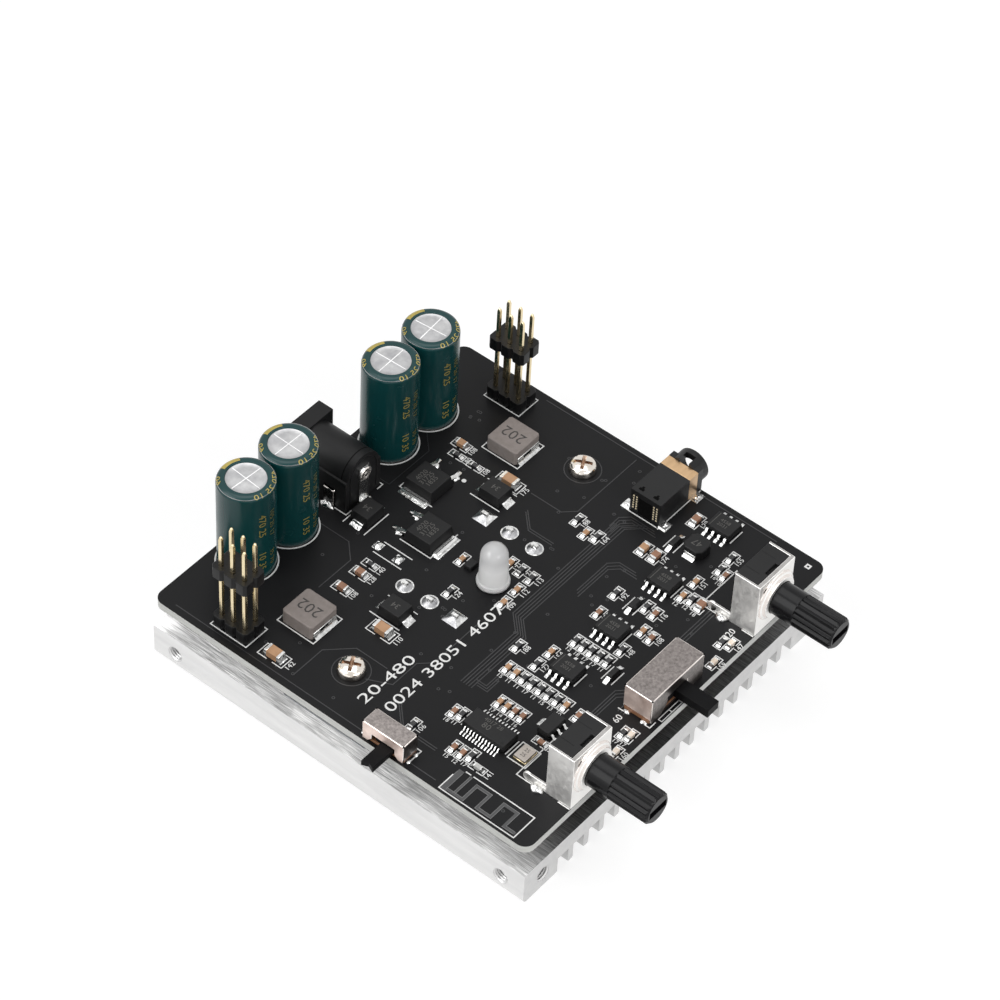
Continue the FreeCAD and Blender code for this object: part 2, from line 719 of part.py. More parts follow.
def inductor(x, y, turn, body):
    """Moulded core with cut corners and a bevelled top, and its two end plates."""
    width, length, height, corner = body
    core_y = length - 2 * inductor_end_plate
    core = slab(x, y, width, core_y, board_top, board_top + height)
    core = core.makeChamfer(corner, edges_along(core, Z_AXIS, lambda middle: True))
    upper = [edge for edge in core.Edges if edge.CenterOfMass.z > board_top + height - near]
    core = core.makeChamfer(inductor_top_chamfer, upper)
    plate_width = width - 2 * corner
    plates = [slab(x, y + s * (core_y + inductor_end_plate) / 2, plate_width, inductor_end_plate,
                   board_top, board_top + height / 2) for s in (-1, 1)]
    return turned_copy(core, turn, x, y), [turned_copy(plate, turn, x, y) for plate in plates]


def driver_transistor(x, y, turn):
    """Moulded body with a heat tab at one end and two bent pins at the other."""
    length, width, height = driver_body
    tab_length, tab_width, tab_sheet = driver_tab
    seat = board_top + package_seat
    body = frustum(x, y, (length, width), (length - 2 * driver_draft, width - 2 * driver_draft),
                   seat, board_top + height)
    metal = [block(x + length / 2, x + length / 2 + tab_length, y - tab_width / 2, y + tab_width / 2,
                   board_top, board_top + tab_sheet)]
    for sign in (-1, 1):
        pin = lead_profile(driver_pin_reach, height / 2, tab_sheet, driver_pin_foot)
        points = [Vector(x - length / 2 - px, y + sign * driver_pin_pitch / 2 - driver_pin_width / 2,
                         board_top + pz) for px, pz in pin]
        metal.append(prism(points, Vector(0, driver_pin_width, 0)))
    return turned_copy(body, turn, x, y), [turned_copy(piece, turn, x, y) for piece in metal]


def lead_profile(reach, shoulder, thickness, foot):
    """Side view of a bent lead: down from the body, then along the board."""
    return [(0, shoulder), (reach - foot, thickness), (reach, thickness), (reach, 0),
            (reach - foot - thickness, 0), (0, shoulder - thickness)]


def bent_lead(x, y, sign, width):
    """Bent lead that leaves a package at x towards +X or -X."""
    profile = lead_profile(lead_reach, lead_shoulder, lead_sheet, lead_foot)
    points = [Vector(x + sign * px, y - width / 2, board_top + pz) for px, pz in profile]
    return prism(points, Vector(0, width, 0))


def package(x, y, body, pitch, count, width, sides=(-1, 1)):
    """Moulded package with a row of bent leads on one side or two."""
    length, breadth, height = body
    moulding = slab(x, y, length, breadth, board_top + package_seat, board_top + height)
    leads = []
    for number in range(count):
        lead_y = y + (number - (count - 1) / 2) * pitch
        for sign in sides:
            leads.append(bent_lead(x + sign * length / 2, lead_y, sign, width))
    return moulding, leads


def tabbed_regulator(x, y):
    """Regulator with three leads towards the front and a heat tab towards the back."""
    length, breadth, height = regulator_body
    moulding, leads = package(x, y, regulator_body, regulator_pitch, regulator_count, eight_lead_width, (-1,))
    tab = slab(x + (length + lead_foot) / 2, y, lead_foot, regulator_tab_width,
               board_top, board_top + lead_sheet)
    metal = [turned_copy(piece, quarter_turn, x, y) for piece in leads + [tab]]
    return turned_copy(moulding, quarter_turn, x, y), metal


def diode(x, y, along_y, body):
    """Tapered moulding with a flat lead at each end."""
    length, width, height = body
    turn = quarter_turn if along_y else 0
    case = frustum(x, y, (length, width), (length - 2 * diode_draft, width - 2 * diode_draft),
                   board_top + package_seat, board_top + height)
    leads = [slab(x + sign * (length + diode_lead_reach) / 2, y, diode_lead_reach, width * diode_lead_share,
                  board_top, board_top + diode_lead_thickness) for sign in (-1, 1)]
    return turned_copy(case, turn, x, y), [turned_copy(lead, turn, x, y) for lead in leads]


def chip(place, size, along_y=False):
    """Rectangular chip body standing on the board."""
    length, width, height = size
    if along_y:
        length, width = width, length
    return slab(place[0], place[1], length, width, board_top, board_top + height)


# ---- Circuit board ----

def circuit_board():
    """Square board with rounded corners, a hole for each screw and a hole for every lead."""
    board = block(-half, half, -half, half, board_bottom, board_top)
    board = board.makeFillet(board_corner_radius, edges_along(board, Z_AXIS, lambda middle: True))
    screw_holes = [upright_hole(screw_radius + sliding_gap, x, transistor_y, board_bottom, board_top)
                   for x in (-transistor_x, transistor_x)]
    return board.cut(screw_holes + board_holes)


# ---- Assembly ----

os.makedirs("parts", exist_ok=True)

export("heatsink", heatsink())
right_case, right_frame, right_pad = output_transistor()
left_case, left_pad = [turned_copy(piece, half_turn, 0, transistor_y) for piece in (right_case, right_pad)]
left_frame = [turned_copy(piece, half_turn, 0, transistor_y) for piece in right_frame]
export("insulating_pads", right_pad, left_pad)
export("right_transistor_case", right_case)
export("right_transistor_leadframe", *right_frame)
export("left_transistor_case", left_case)
export("left_transistor_leadframe", *left_frame)
export("transistor_screws", *[transistor_screw(x) for x in (-transistor_x, transistor_x)])

through_leads = []
for number, x in enumerate(capacitor_places, start=1):
    sleeve, can, leads = capacitor(x)
    export(f"capacitor_sleeve_{number}", sleeve)
    export(f"capacitor_can_{number}", can)
    through_leads += leads

lens, light_leads = status_light()
export("status_light_lens", lens)
export("through_hole_leads", *(through_leads + light_leads))

socket_housing, socket_pin, socket_contacts = power_socket()
export("power_socket_housing", socket_housing)
export("power_socket_pin", socket_pin)
export("power_socket_contacts", *socket_contacts)

audio_body, audio_shield, audio_contacts = audio_socket()
export("audio_socket_body", audio_body)
export("audio_socket_shield", audio_shield)
export("audio_socket_contacts", *audio_contacts)

for label, x in zip(("left", "right"), pot_places):
    export(f"{label}_pot_bracket", pot_bracket(x))
    export(f"{label}_pot_body", pot_body(x))
    export(f"{label}_pot_shaft", pot_shaft(x))
    export(f"{label}_pot_leads", *pot_leads(x))

for label, sizes, turn, notch in (("power", power_switch, 0, 0),
                                  ("mode", mode_switch, -quarter_turn, lever_notch)):
    shell, base, slider, leads = placed_switch(sizes, turn, notch)
    export(f"{label}_switch_shell", shell)
    export(f"{label}_switch_base", base)
    export(f"{label}_switch_slider", slider)
    export(f"{label}_switch_leads", *leads)

for label, x in (("left", -header_x), ("right", header_x)):
    export(f"{label}_header_base", header_moulding(x, header_y, board_top))
    export(f"{label}_header_spacer", header_moulding(x, header_y, board_top + header_raised))
    export(f"{label}_header_pins", *[header_pin(px, py) for px, py in header_cells(x, header_y)])

cores = []
end_plates = []
for places, body in ((large_inductors, large_inductor_body), (small_inductors, small_inductor_body)):
    for entry in places:
        core, plates = inductor(*entry, body)
        cores.append(core)
        end_plates += plates
export("inductor_cores", *cores)
export("inductor_end_plates", *end_plates)

cases = []
metal = []
for entry in driver_transistors:
    case, leads = driver_transistor(*entry)
    cases.append(case)
    metal += leads
export("driver_transistor_cases", *cases)
export("driver_transistor_leads", *metal)

diode_cases = []
package_leads = []
for places, body in ((large_diodes, large_diode_body), (small_diodes, small_diode_body)):
    for entry in places:
        case, leads = diode(*entry, body)
        diode_cases.append(case)
        package_leads += leads
export("diode_cases", *diode_cases)

packages = []
for place in eight_lead_chips:
    case, leads = package(*place, eight_lead_body, eight_lead_pitch, eight_lead_count, eight_lead_width)
    packages.append(case)
    package_leads += leads
long_case, long_leads = package(*long_chip, long_chip_body, long_chip_pitch, long_chip_count,
                                long_chip_lead_width)
regulator_case, regulator_leads = tabbed_regulator(*regulator)
packages += [long_case, regulator_case, chip(leadless_chip, leadless_body)]
package_leads += long_leads + regulator_leads
export("chip_packages", *packages)
export("package_leads", *package_leads)

export("crystal_can", chip(crystal, crystal_body))
export("indicator_lights", *[chip(place, indicator_body) for place in indicator_places],
       chip(mode_indicator, indicator_body, True))

ceramic = [chip(place, small_chip) for place in capacitors_x]
ceramic += [chip(place, small_chip, True) for place in capacitors_y]
ceramic += [chip(place, middle_chip) for place in middle_capacitors_x]
ceramic += [chip(place, middle_chip, True) for place in middle_capacitors_y]
ceramic += [chip(place, large_chip, True) for place in large_capacitors_y]
resistors = [chip(place, small_chip) for place in resistors_x]
resistors += [chip(place, small_chip, True) for place in resistors_y]
for x, first_y, step, kinds in chip_rows:
    for number, kind in enumerate(kinds):
        body = chip((x, first_y - number * step), small_chip)
        (ceramic if kind == "c" else resistors).append(body)
export("ceramic_capacitors", *ceramic)
export("chip_resistors", *resistors)

export("circuit_board", circuit_board())
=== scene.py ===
import math
import random

import bmesh
import bpy
from mathutils import Matrix, Vector


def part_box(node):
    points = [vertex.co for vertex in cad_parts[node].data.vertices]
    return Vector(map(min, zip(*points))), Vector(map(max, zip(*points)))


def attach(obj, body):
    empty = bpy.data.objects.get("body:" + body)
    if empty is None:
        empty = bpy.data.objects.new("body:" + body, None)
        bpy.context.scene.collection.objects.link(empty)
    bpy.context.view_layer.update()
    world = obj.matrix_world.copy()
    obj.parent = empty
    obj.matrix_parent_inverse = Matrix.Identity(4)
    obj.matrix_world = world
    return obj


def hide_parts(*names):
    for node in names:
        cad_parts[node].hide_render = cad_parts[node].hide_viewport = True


bl_info = {
    "name": "Driver unit looks",
    "version": (1, 0, 0),
    "blender": (4, 5, 0),
    "location": "3D View > Sidebar > Driver unit",
    "description": "Dresses the driver unit of a desktop resonant transformer and lights it",
    "category": "Object",
}

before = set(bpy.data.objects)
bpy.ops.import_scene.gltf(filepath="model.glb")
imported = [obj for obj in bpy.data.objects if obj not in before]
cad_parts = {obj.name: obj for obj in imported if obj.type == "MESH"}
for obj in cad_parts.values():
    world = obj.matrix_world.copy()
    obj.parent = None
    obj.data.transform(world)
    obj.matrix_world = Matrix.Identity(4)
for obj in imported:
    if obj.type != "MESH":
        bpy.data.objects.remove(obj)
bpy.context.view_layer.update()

# Lengths are millimetres in the frame of the model. A finished piece is scaled to metres as it is placed.
METRE = 0.001
UP = Vector((0, 0, 1))
QUARTER = math.pi / 2
CAPITAL = 0.7  # height of a capital as a share of the size of its letters
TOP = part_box("circuit_board")[1].z / METRE
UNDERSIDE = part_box("circuit_board")[0].z / METRE
AXIS = TOP + 6.5  # height of the middle of the power socket's barrel and of both shafts
AUDIO_TOP = TOP + 5.0  # top of the audio socket's moulded case
INK = 0.03  # thickness of the print on the board
MARK = 0.012  # thickness of the marks on parts
LARGE_INDUCTOR = 2.5  # height that only the large inductors pass
LARGE_DIODE = 1.5  # height that only the large diodes pass


# ---------------------------------------------------------------- sizes and colours

class BoardLooks(bpy.types.PropertyGroup):
    """Colours of the board and the width of its printed lines."""
    mask: bpy.props.FloatVectorProperty(
        name="Mask", description="Colour of the solder mask", subtype="COLOR", size=3,
        default=(0.0108, 0.0108, 0.0116))
    ink: bpy.props.FloatVectorProperty(
        name="Ink", description="Colour of the printed lines", subtype="COLOR", size=3,
        default=(0.86, 0.86, 0.85))
    line: bpy.props.FloatProperty(
        name="Line", description="Width of a printed line", subtype="DISTANCE", unit="LENGTH",
        default=0.0002)


class CapacitorLooks(bpy.types.PropertyGroup):
    """Colours and rim of the capacitors."""
    sleeve: bpy.props.FloatVectorProperty(
        name="Sleeve", description="Colour of the sleeve", subtype="COLOR", size=3,
        default=(0.004, 0.050, 0.052))
    ink: bpy.props.FloatVectorProperty(
        name="Print", description="Colour of the print on the sleeve", subtype="COLOR", size=3,
        default=(0.42, 0.33, 0.07))
    rim: bpy.props.FloatProperty(
        name="Rim", description="Radius of the rounded rim", subtype="DISTANCE", unit="LENGTH",
        default=0.0009)


class StageLooks(bpy.types.PropertyGroup):
    """Floor, lamps and lens."""
    floor: bpy.props.FloatVectorProperty(
        name="Floor", description="Colour of the floor", subtype="COLOR", size=3,
        default=(0.36, 0.36, 0.36))
    lamps: bpy.props.FloatProperty(
        name="Lamps", description="Strength of all lamps together", default=1.0, min=0.0)
    lens: bpy.props.FloatProperty(
        name="Lens", description="Focal length of the camera", subtype="DISTANCE_CAMERA", unit="CAMERA",
        default=144.18)


# ---------------------------------------------------------------- materials

def node(tree, kind, **values):
    """New shader node with its properties and inputs set. An input whose value is an output is linked."""
    made = tree.nodes.new(kind)
    for key, value in values.items():
        if hasattr(made, key):
            setattr(made, key, value)
            continue
        socket = made.inputs[key.replace("_", " ")]
        if isinstance(value, bpy.types.NodeSocket):
            tree.links.new(value, socket)
        else:
            socket.default_value = value
    return made


def two_tones(tree, source, dark, light, spread=1.0):
    """Colour that passes from one tone to the other over the middle share of a texture."""
    tones = node(tree, "ShaderNodeValToRGB", Fac=source)
    first, last = tones.color_ramp.elements
    first.position, last.position = 0.5 - spread / 2, 0.5 + spread / 2
    first.color, last.color = (*dark, 1), (*light, 1)
    return tones.outputs["Color"]


def finish(name, colour, rough, metal=0.0, other=None, patch=60.0, spread=0.5, grain=900.0, bump=0.1,
           stretch=(1, 1, 1), gloss=0.5, rough_spread=0.25, depth=0.00002):
    """Material whose colour drifts between two tones, with a grain in its roughness and its surface.

    colour and other are the two tones, patch and grain are repeats per metre, stretch draws both out."""
    made = bpy.data.materials.get(name)
    if made:
        return made
    made = bpy.data.materials.new(name)
    made.use_nodes = True
    tree = made.node_tree
    shader = tree.nodes["Principled BSDF"]
    shader.inputs["Metallic"].default_value = metal
    shader.inputs["Specular IOR Level"].default_value = gloss
    place = node(tree, "ShaderNodeTexCoord").outputs["Object"]
    drawn = node(tree, "ShaderNodeMapping", Scale=stretch, Vector=place).outputs["Vector"]
    drift = node(tree, "ShaderNodeTexNoise", Scale=patch, Detail=4.0, Roughness=0.6, Vector=drawn)
    other = other or [channel * 0.72 for channel in colour]
    tones = two_tones(tree, drift.outputs["Fac"], other, colour, spread)
    tree.links.new(tones, shader.inputs["Base Color"])
    fine = node(tree, "ShaderNodeTexNoise", Scale=grain, Detail=3.0, Roughness=0.55, Vector=drawn)
    dull = node(tree, "ShaderNodeMapRange", To_Min=max(rough * (1 - rough_spread), 0.02),
                To_Max=min(rough * (1 + rough_spread), 1.0), Value=fine.outputs["Fac"])
    tree.links.new(dull.outputs["Result"], shader.inputs["Roughness"])
    raised = node(tree, "ShaderNodeBump", Strength=bump, Distance=depth, Height=fine.outputs["Fac"])
    tree.links.new(raised.outputs["Normal"], shader.inputs["Normal"])
    return made


# name: two tones that the colour drifts between, roughness, further values of finish
FINISHES = {
    "raised_mask": ((0.024, 0.024, 0.026), None, 0.3, dict(patch=300, grain=2600, bump=0.2)),
    "antenna_mask": ((0.062, 0.062, 0.064), (0.045, 0.045, 0.047), 0.5, dict(patch=900, grain=2600)),
    # lighter lines along the edges of the antenna strip: painted highlights
    "antenna_edge_highlight": ((0.2, 0.2, 0.2), (0.12, 0.12, 0.12), 0.5, dict(patch=900, grain=2600)),
    "bright_solder": ((0.95, 0.95, 0.94), (0.36, 0.36, 0.36), 0.16,
        dict(metal=1.0, patch=1300, spread=0.45, grain=1500, bump=0.8, depth=0.0001)),
    # darker copy of the solder: painted shade on domes and flanks of the output joints
    "solder_painted_shade": ((0.55, 0.55, 0.56), (0.26, 0.26, 0.27), 0.3,
        dict(metal=1.0, patch=1100, grain=1500, bump=0.6, depth=0.00006)),
    "tinned_lead": ((0.84, 0.84, 0.83), (0.5, 0.5, 0.49), 0.26,
        dict(metal=1.0, patch=1000, grain=1500, bump=0.4, depth=0.00004)),
    "tinned_plate": ((0.82, 0.82, 0.81), (0.6, 0.6, 0.59), 0.2,
        dict(metal=1.0, patch=300, grain=1200, bump=0.15)),
    # painted shade: the dark reflection of the socket contacts and the groove along the driver tabs
    "plate_painted_shade": ((0.11, 0.11, 0.11), (0.05, 0.05, 0.05), 0.25,
        dict(metal=1.0, patch=400, grain=1200, bump=0.2)),
    "bright_nickel": ((0.86, 0.82, 0.77), (0.64, 0.58, 0.51), 0.14,
        dict(metal=1.0, patch=420, grain=1200, bump=0.4, depth=0.00004)),
    # painted shade and warm reflection inside the screws' cross recesses
    "recess_painted_shade": ((0.5, 0.36, 0.27), (0.26, 0.18, 0.13), 0.3,
        dict(metal=1.0, patch=700, grain=1600, bump=0.5)),
    # bright plating of the socket's rivet, and painted highlights on rounded edges and round the brackets'
    # locating holes
    "plating_and_edge_highlight": ((0.95, 0.9, 0.86), (0.74, 0.68, 0.64), 0.25,
        dict(metal=1.0, patch=300, grain=1200, bump=0.2)),
    # painted reflection on the end faces of the switch shells
    "end_face_painted_reflection": ((0.98, 0.85, 0.79), (0.5, 0.38, 0.33), 0.55,
        dict(metal=0.9, patch=240, grain=900, bump=0.2)),
    # darker plate on upward faces of the brackets: dull sheared edges, partly painted shade
    "sheared_plate_and_painted_shade": ((0.4, 0.39, 0.38), (0.26, 0.25, 0.24), 0.4,
        dict(metal=1.0, patch=600, grain=1400, bump=0.3)),
    "plated_bracket": ((0.96, 0.95, 0.93), (0.8, 0.79, 0.77), 0.5,
        dict(metal=1.0, patch=170, grain=900, bump=0.3)),
    "gold_plating": ((0.93, 0.8, 0.54), (0.78, 0.64, 0.38), 0.2,
        dict(metal=1.0, patch=300, grain=1800, bump=0.15)),
    "crystal_lid": ((0.42, 0.385, 0.35), (0.3, 0.27, 0.245), 0.3,
        dict(metal=1.0, patch=300, grain=1800, bump=0.2)),
    "shield_brass": ((0.6, 0.41, 0.24), (0.48, 0.32, 0.18), 0.33,
        dict(metal=1.0, patch=200, grain=900, bump=0.2, stretch=(1, 4, 4))),
    "contact_gold": ((0.95, 0.82, 0.58), (0.8, 0.68, 0.46), 0.5, dict(metal=0.2, patch=900, grain=2000)),
    "black_moulding": ((0.0125, 0.0125, 0.013), None, 0.44,
        dict(patch=150, grain=1300, bump=0.3, gloss=0.17)),
    # painted shade that stands for the inside of holes, slots, seams and notches
    "painted_hollow_shade": ((0.003, 0.003, 0.003), None, 0.8, dict(patch=150, grain=1300, gloss=0.05)),
    "black_satin": ((0.011, 0.011, 0.0115), None, 0.42, dict(patch=150, grain=1800, bump=0.35, gloss=0.25)),
    "shaft_moulding": ((0.008, 0.008, 0.009), None, 0.2, dict(patch=200, grain=900, bump=0.2, gloss=0.18)),
    "lever_moulding": ((0.0045, 0.0045, 0.005), None, 0.46,
        dict(patch=180, grain=1800, bump=0.3, gloss=0.08)),
    "black_matte": ((0.0085, 0.0085, 0.009), None, 0.34, dict(patch=150, grain=1800, bump=0.3, gloss=0.2)),
    "chip_epoxy": ((0.01, 0.01, 0.0105), None, 0.5, dict(patch=700, grain=5200, bump=0.6, gloss=0.24)),
    "laser_marking": ((0.095, 0.092, 0.085), (0.06, 0.058, 0.055), 0.7, dict(patch=900, grain=3000)),
    "dark_marking": ((0.03, 0.027, 0.025), (0.05, 0.046, 0.043), 0.7, dict(patch=900, grain=3000)),
    "brown_laminate": ((0.36, 0.17, 0.08), (0.2, 0.085, 0.04), 0.5,
        dict(patch=120, spread=0.7, grain=1500, bump=0.2, stretch=(1, 1, 6))),
    # darker copy of the switch bases on faces towards -Y: painted shade
    "phenolic_painted_shade": ((0.03, 0.016, 0.01), (0.018, 0.01, 0.007), 0.5, dict(patch=500, grain=1800)),
    "pressed_powder": ((0.285, 0.25, 0.235), (0.22, 0.19, 0.175), 0.62,
        dict(patch=900, grain=3600, bump=0.8, depth=0.00005, gloss=0.3)),
    "tan_ceramic": ((0.52, 0.3, 0.165), (0.43, 0.235, 0.12), 0.4, dict(patch=500, grain=2500)),
    "brown_ceramic": ((0.36, 0.185, 0.11), (0.27, 0.13, 0.075), 0.4, dict(patch=500, grain=2500)),
    "resistor_glaze": ((0.022, 0.022, 0.026), None, 0.3, dict(patch=700, grain=2500)),
    "alumina": ((0.62, 0.62, 0.6), None, 0.5, dict(patch=700, grain=2500)),
    "can_metal": ((0.52, 0.52, 0.52), (0.33, 0.33, 0.34), 0.42,
        dict(metal=1.0, patch=520, grain=1600, bump=0.6, depth=0.00006)),
    # bright pressed lines on the can tops: painted highlight
    "score_painted_highlight": ((0.98, 0.98, 0.98), None, 0.5, dict(metal=0.6, patch=500, grain=1500, bump=0.3)),
    "lit_chip": ((0.88, 0.7, 0.55), (0.85, 0.8, 0.72), 0.3, dict(patch=500, grain=1500)),
    "pad_sheet": ((0.34, 0.35, 0.37), None, 0.7, dict(patch=200, grain=2000, bump=0.3)),
    "brushed_nickel": ((0.29, 0.262, 0.25), (0.115, 0.103, 0.098), 0.33,
        dict(metal=1.0, patch=2200, grain=3200, bump=0.3)),
    "fine_nickel": ((0.348, 0.3144, 0.3), (0.138, 0.1236, 0.1176), 0.33,
        dict(metal=1.0, patch=2200, grain=3200, bump=0.3)),
}


def paint(name):
    """Material of the table of finishes."""
    colour, other, rough, rest = FINISHES[name]
    return finish(name, colour, rough, other=other, **rest)


def tone_of(made):
    """Input of a material that takes its colour, and what now feeds it."""
    tone = made.node_tree.nodes["Principled BSDF"].inputs["Base Color"]
    return tone, tone.links[0].from_socket


def place_and_height(tree):
    """Object coordinates and the height among them."""
    place = node(tree, "ShaderNodeTexCoord").outputs["Object"]
    return place, node(tree, "ShaderNodeSeparateXYZ", Vector=place).outputs["Z"]


def board_mask():
    """Black solder mask over copper, with the pale laminate showing at the cut edges."""
    looks = bpy.context.scene.board_looks
    made = finish("board_mask", looks.mask, 0.38, other=[channel * 0.8 for channel in looks.mask], patch=45,
                  grain=2600, bump=0.25, gloss=0.125)
    tree = made.node_tree
    if tree.nodes.get("Laminate"):
        return made
    tone, mask = tone_of(made)
    place, height = place_and_height(tree)
    # the laminate shows between the two skins of mask, each 0.04 mm thick
    edge = node(tree, "ShaderNodeMath", operation="COMPARE", Value=height)
    edge.inputs[1].default_value = (TOP + UNDERSIDE) / 2 * METRE
    edge.inputs[2].default_value = ((TOP - UNDERSIDE) / 2 - 0.04) * METRE
    layers = node(tree, "ShaderNodeMapping", Scale=(0.2, 0.2, 4.0), Vector=place)
    fibre = node(tree, "ShaderNodeTexNoise", Scale=1800.0, Detail=2.0, Vector=layers.outputs["Vector"])
    laminate = two_tones(tree, fibre.outputs["Fac"], (0.50, 0.505, 0.48), (0.96, 0.965, 0.93))
    # sockets 6 and 7 of the mix are its two colours, and socket 2 gives the mixed one
    mixed = node(tree, "ShaderNodeMix", data_type="RGBA", name="Laminate", Factor=edge.outputs["Value"])
    tree.links.new(mask, mixed.inputs[6])
    tree.links.new(laminate, mixed.inputs[7])
    tree.links.new(mixed.outputs[2], tone)
    return made


def ink():
    return finish("board_ink", bpy.context.scene.board_looks.ink, 0.6, patch=900, grain=4000, gloss=0.3,
                  other=(0.74, 0.74, 0.73))


def aluminium(name="extruded_aluminium", light=(0.70, 0.695, 0.69), dark=(0.60, 0.60, 0.60), rough=0.42,
              drawn=0.6, streaks=0.00002, fine=12, patch=50, grain=60):
    """Aluminium with streaks along Y, whose reflection is drawn out across them."""
    made = finish(name, light, rough, metal=1.0, other=dark, patch=patch, grain=grain, bump=1.0,
                  stretch=(fine, 1, fine), rough_spread=0.2, depth=streaks)
    tree = made.node_tree
    shader = tree.nodes["Principled BSDF"]
    shader.inputs["Anisotropic"].default_value = drawn
    shader.inputs["Anisotropic Rotation"].default_value = 0.25
    if not shader.inputs["Tangent"].is_linked:
        along = node(tree, "ShaderNodeCombineXYZ", Y=1.0)
        tree.links.new(along.outputs["Vector"], shader.inputs["Tangent"])
    return made


def brushed_aluminium():
    return aluminium("brushed_aluminium", (1.0, 0.995, 0.99), (0.22, 0.22, 0.22), 0.44, drawn=0.8,
                     streaks=0.00006, fine=24, patch=260, grain=260)


def sleeve():
    looks = bpy.context.scene.capacitor_looks
    return finish("teal_sleeve", looks.sleeve, 0.24, other=[channel * 0.8 for channel in looks.sleeve],
                  patch=120, grain=260, bump=0.25, gloss=0.34, rough_spread=0.4, depth=0.00004)


def sleeve_print(name="gold_print", share=1.0):
    tone = [channel * share for channel in bpy.context.scene.capacitor_looks.ink]
    return finish(name, tone, 0.35, patch=800, grain=2500, other=[channel * 0.7 for channel in tone])


def milky():
    """Milky plastic with painted shade: its colour grows darker towards the top of its dome."""
    made = finish("milky_lens", (0.96, 0.96, 0.965), 0.2, patch=120, grain=700, bump=0.12, gloss=0.35,
                  other=(0.90, 0.90, 0.905))
    tree = made.node_tree
    if tree.nodes.get("Shade"):
        return made
    shader = tree.nodes["Principled BSDF"]
    for key, value in (("Weight", 1.0), ("Radius", (0.004, 0.004, 0.004)), ("Scale", 1.0)):
        shader.inputs["Subsurface " + key].default_value = value
    tone, plain = tone_of(made)
    height = place_and_height(tree)[1]
    # painted shade: the colour is scaled down with height towards the top of the dome
    level = node(tree, "ShaderNodeMapRange", From_Min=(TOP + 4.6) * METRE, From_Max=(TOP + 8.6) * METRE,
                 To_Min=1.0, To_Max=0.58, Value=height)
    shade = node(tree, "ShaderNodeVectorMath", operation="SCALE", name="Shade", Vector=plain,
                 Scale=level.outputs["Result"])
    tree.links.new(shade.outputs["Vector"], tone)
    return made


# ---------------------------------------------------------------- modelling helpers

def joint_free(bm):
    """Merges doubled points and turns every face outward."""
    bmesh.ops.remove_doubles(bm, verts=bm.verts, dist=0.0005)
    bmesh.ops.recalc_face_normals(bm, faces=bm.faces)


def faces_at(verts):
    return list(dict.fromkeys(face for vert in verts for face in vert.link_faces))


def edges_at(verts):
    return list(dict.fromkeys(edge for vert in verts for edge in vert.link_edges))


def points_of(grown):
    """Only the points of what an extrusion has made."""
    return [part for part in grown if isinstance(part, bmesh.types.BMVert)]


def coloured(faces, mat):
    """Gives faces one of the mesh's materials, by its place in the list."""
    for face in faces:
        face.material_index = mat


def in_mm(corners):
    """Corners of a box in millimetres."""
    return [corner / METRE for corner in corners]


def flat(x, y, turn=0, z=TOP + INK / 2):
    """Place on the board, turned about the upright axis by some degrees."""
    return Matrix.Translation((x, y, z)) @ Matrix.Rotation(math.radians(turn), 4, "Z")


def lying(x, y, z, axis="X"):
    """Place whose upright axis lies along Y, or along X where axis is Y."""
    return Matrix.Translation((x, y, z)) @ Matrix.Rotation(QUARTER, 4, axis)


def arc(across, level, radius, turns):
    """Points of an arc round (across, level), each turned from upright by some degrees."""
    return [(across + radius * math.sin(math.radians(turn)), level + radius * math.cos(math.radians(turn)))
            for turn in turns]


def rounded(bm, edges, width, steps):
    bmesh.ops.bevel(bm, geom=edges, offset=width, offset_type="OFFSET", segments=steps, profile=0.5,
                    affect="EDGES", clamp_overlap=True, material=-1)


def block(bm, low, high, mat=0, edge=0.0, steps=1, taper=0.0, place=None):
    """Box between two corners, with its top drawn in by taper and its edges rounded."""
    verts = bmesh.ops.create_cube(bm, size=1.0)["verts"]
    low, high = Vector(low), Vector(high)
    size = high - low
    centre = (low + high) / 2
    for vert in verts:
        drawn = taper if vert.co.z > 0 else 0.0
        vert.co = centre + Vector((vert.co.x * (size.x - 2 * drawn), vert.co.y * (size.y - 2 * drawn),
                                   vert.co.z * size.z))
    if place:
        bmesh.ops.transform(bm, matrix=place, verts=verts)
    coloured(faces_at(verts), mat)
    if edge:
        rounded(bm, edges_at(verts), edge, steps)


def rod(bm, start, end, radius, mat=0, sides=32, edge=0.0, steps=2):
    """Round bar between two points, its end edges rounded."""
    start, end = Vector(start), Vector(end)
    run = end - start
    turn = UP.rotation_difference(run).to_matrix().to_4x4()
    made = bmesh.ops.create_cone(bm, cap_ends=True, segments=sides, radius1=radius, radius2=radius,
                                 depth=run.length, matrix=Matrix.Translation((start + end) / 2) @ turn)
    faces = faces_at(made["verts"])
    coloured(faces, mat)
    if edge:
        rims = [rim for face in faces if len(face.verts) == sides for rim in face.edges]
        rounded(bm, rims, edge, steps)


def spun(bm, outline, place, mat=0, steps=48):
    """Turns (radius, height) points once round the upright axis."""
    work = bmesh.new()
    verts = [work.verts.new((radius, 0, height)) for radius, height in outline]
    edges = [work.edges.new(pair) for pair in zip(verts, verts[1:])]
    bmesh.ops.spin(work, geom=verts + edges, cent=(0, 0, 0), axis=(0, 0, 1), angle=2 * math.pi, steps=steps,
                   use_merge=True)
    joint_free(work)
    coloured(work.faces, mat)
    merge(bm, work, place)


def merge(bm, work, place=None):
    """Adds a worked piece to a mesh and frees it."""
    if place is not None:
        work.transform(place if isinstance(place, Matrix) else Matrix.Translation(place))
    held = bpy.data.meshes.new("held")
    work.to_mesh(held)
    work.free()
    bm.from_mesh(held)
    bpy.data.meshes.remove(held)


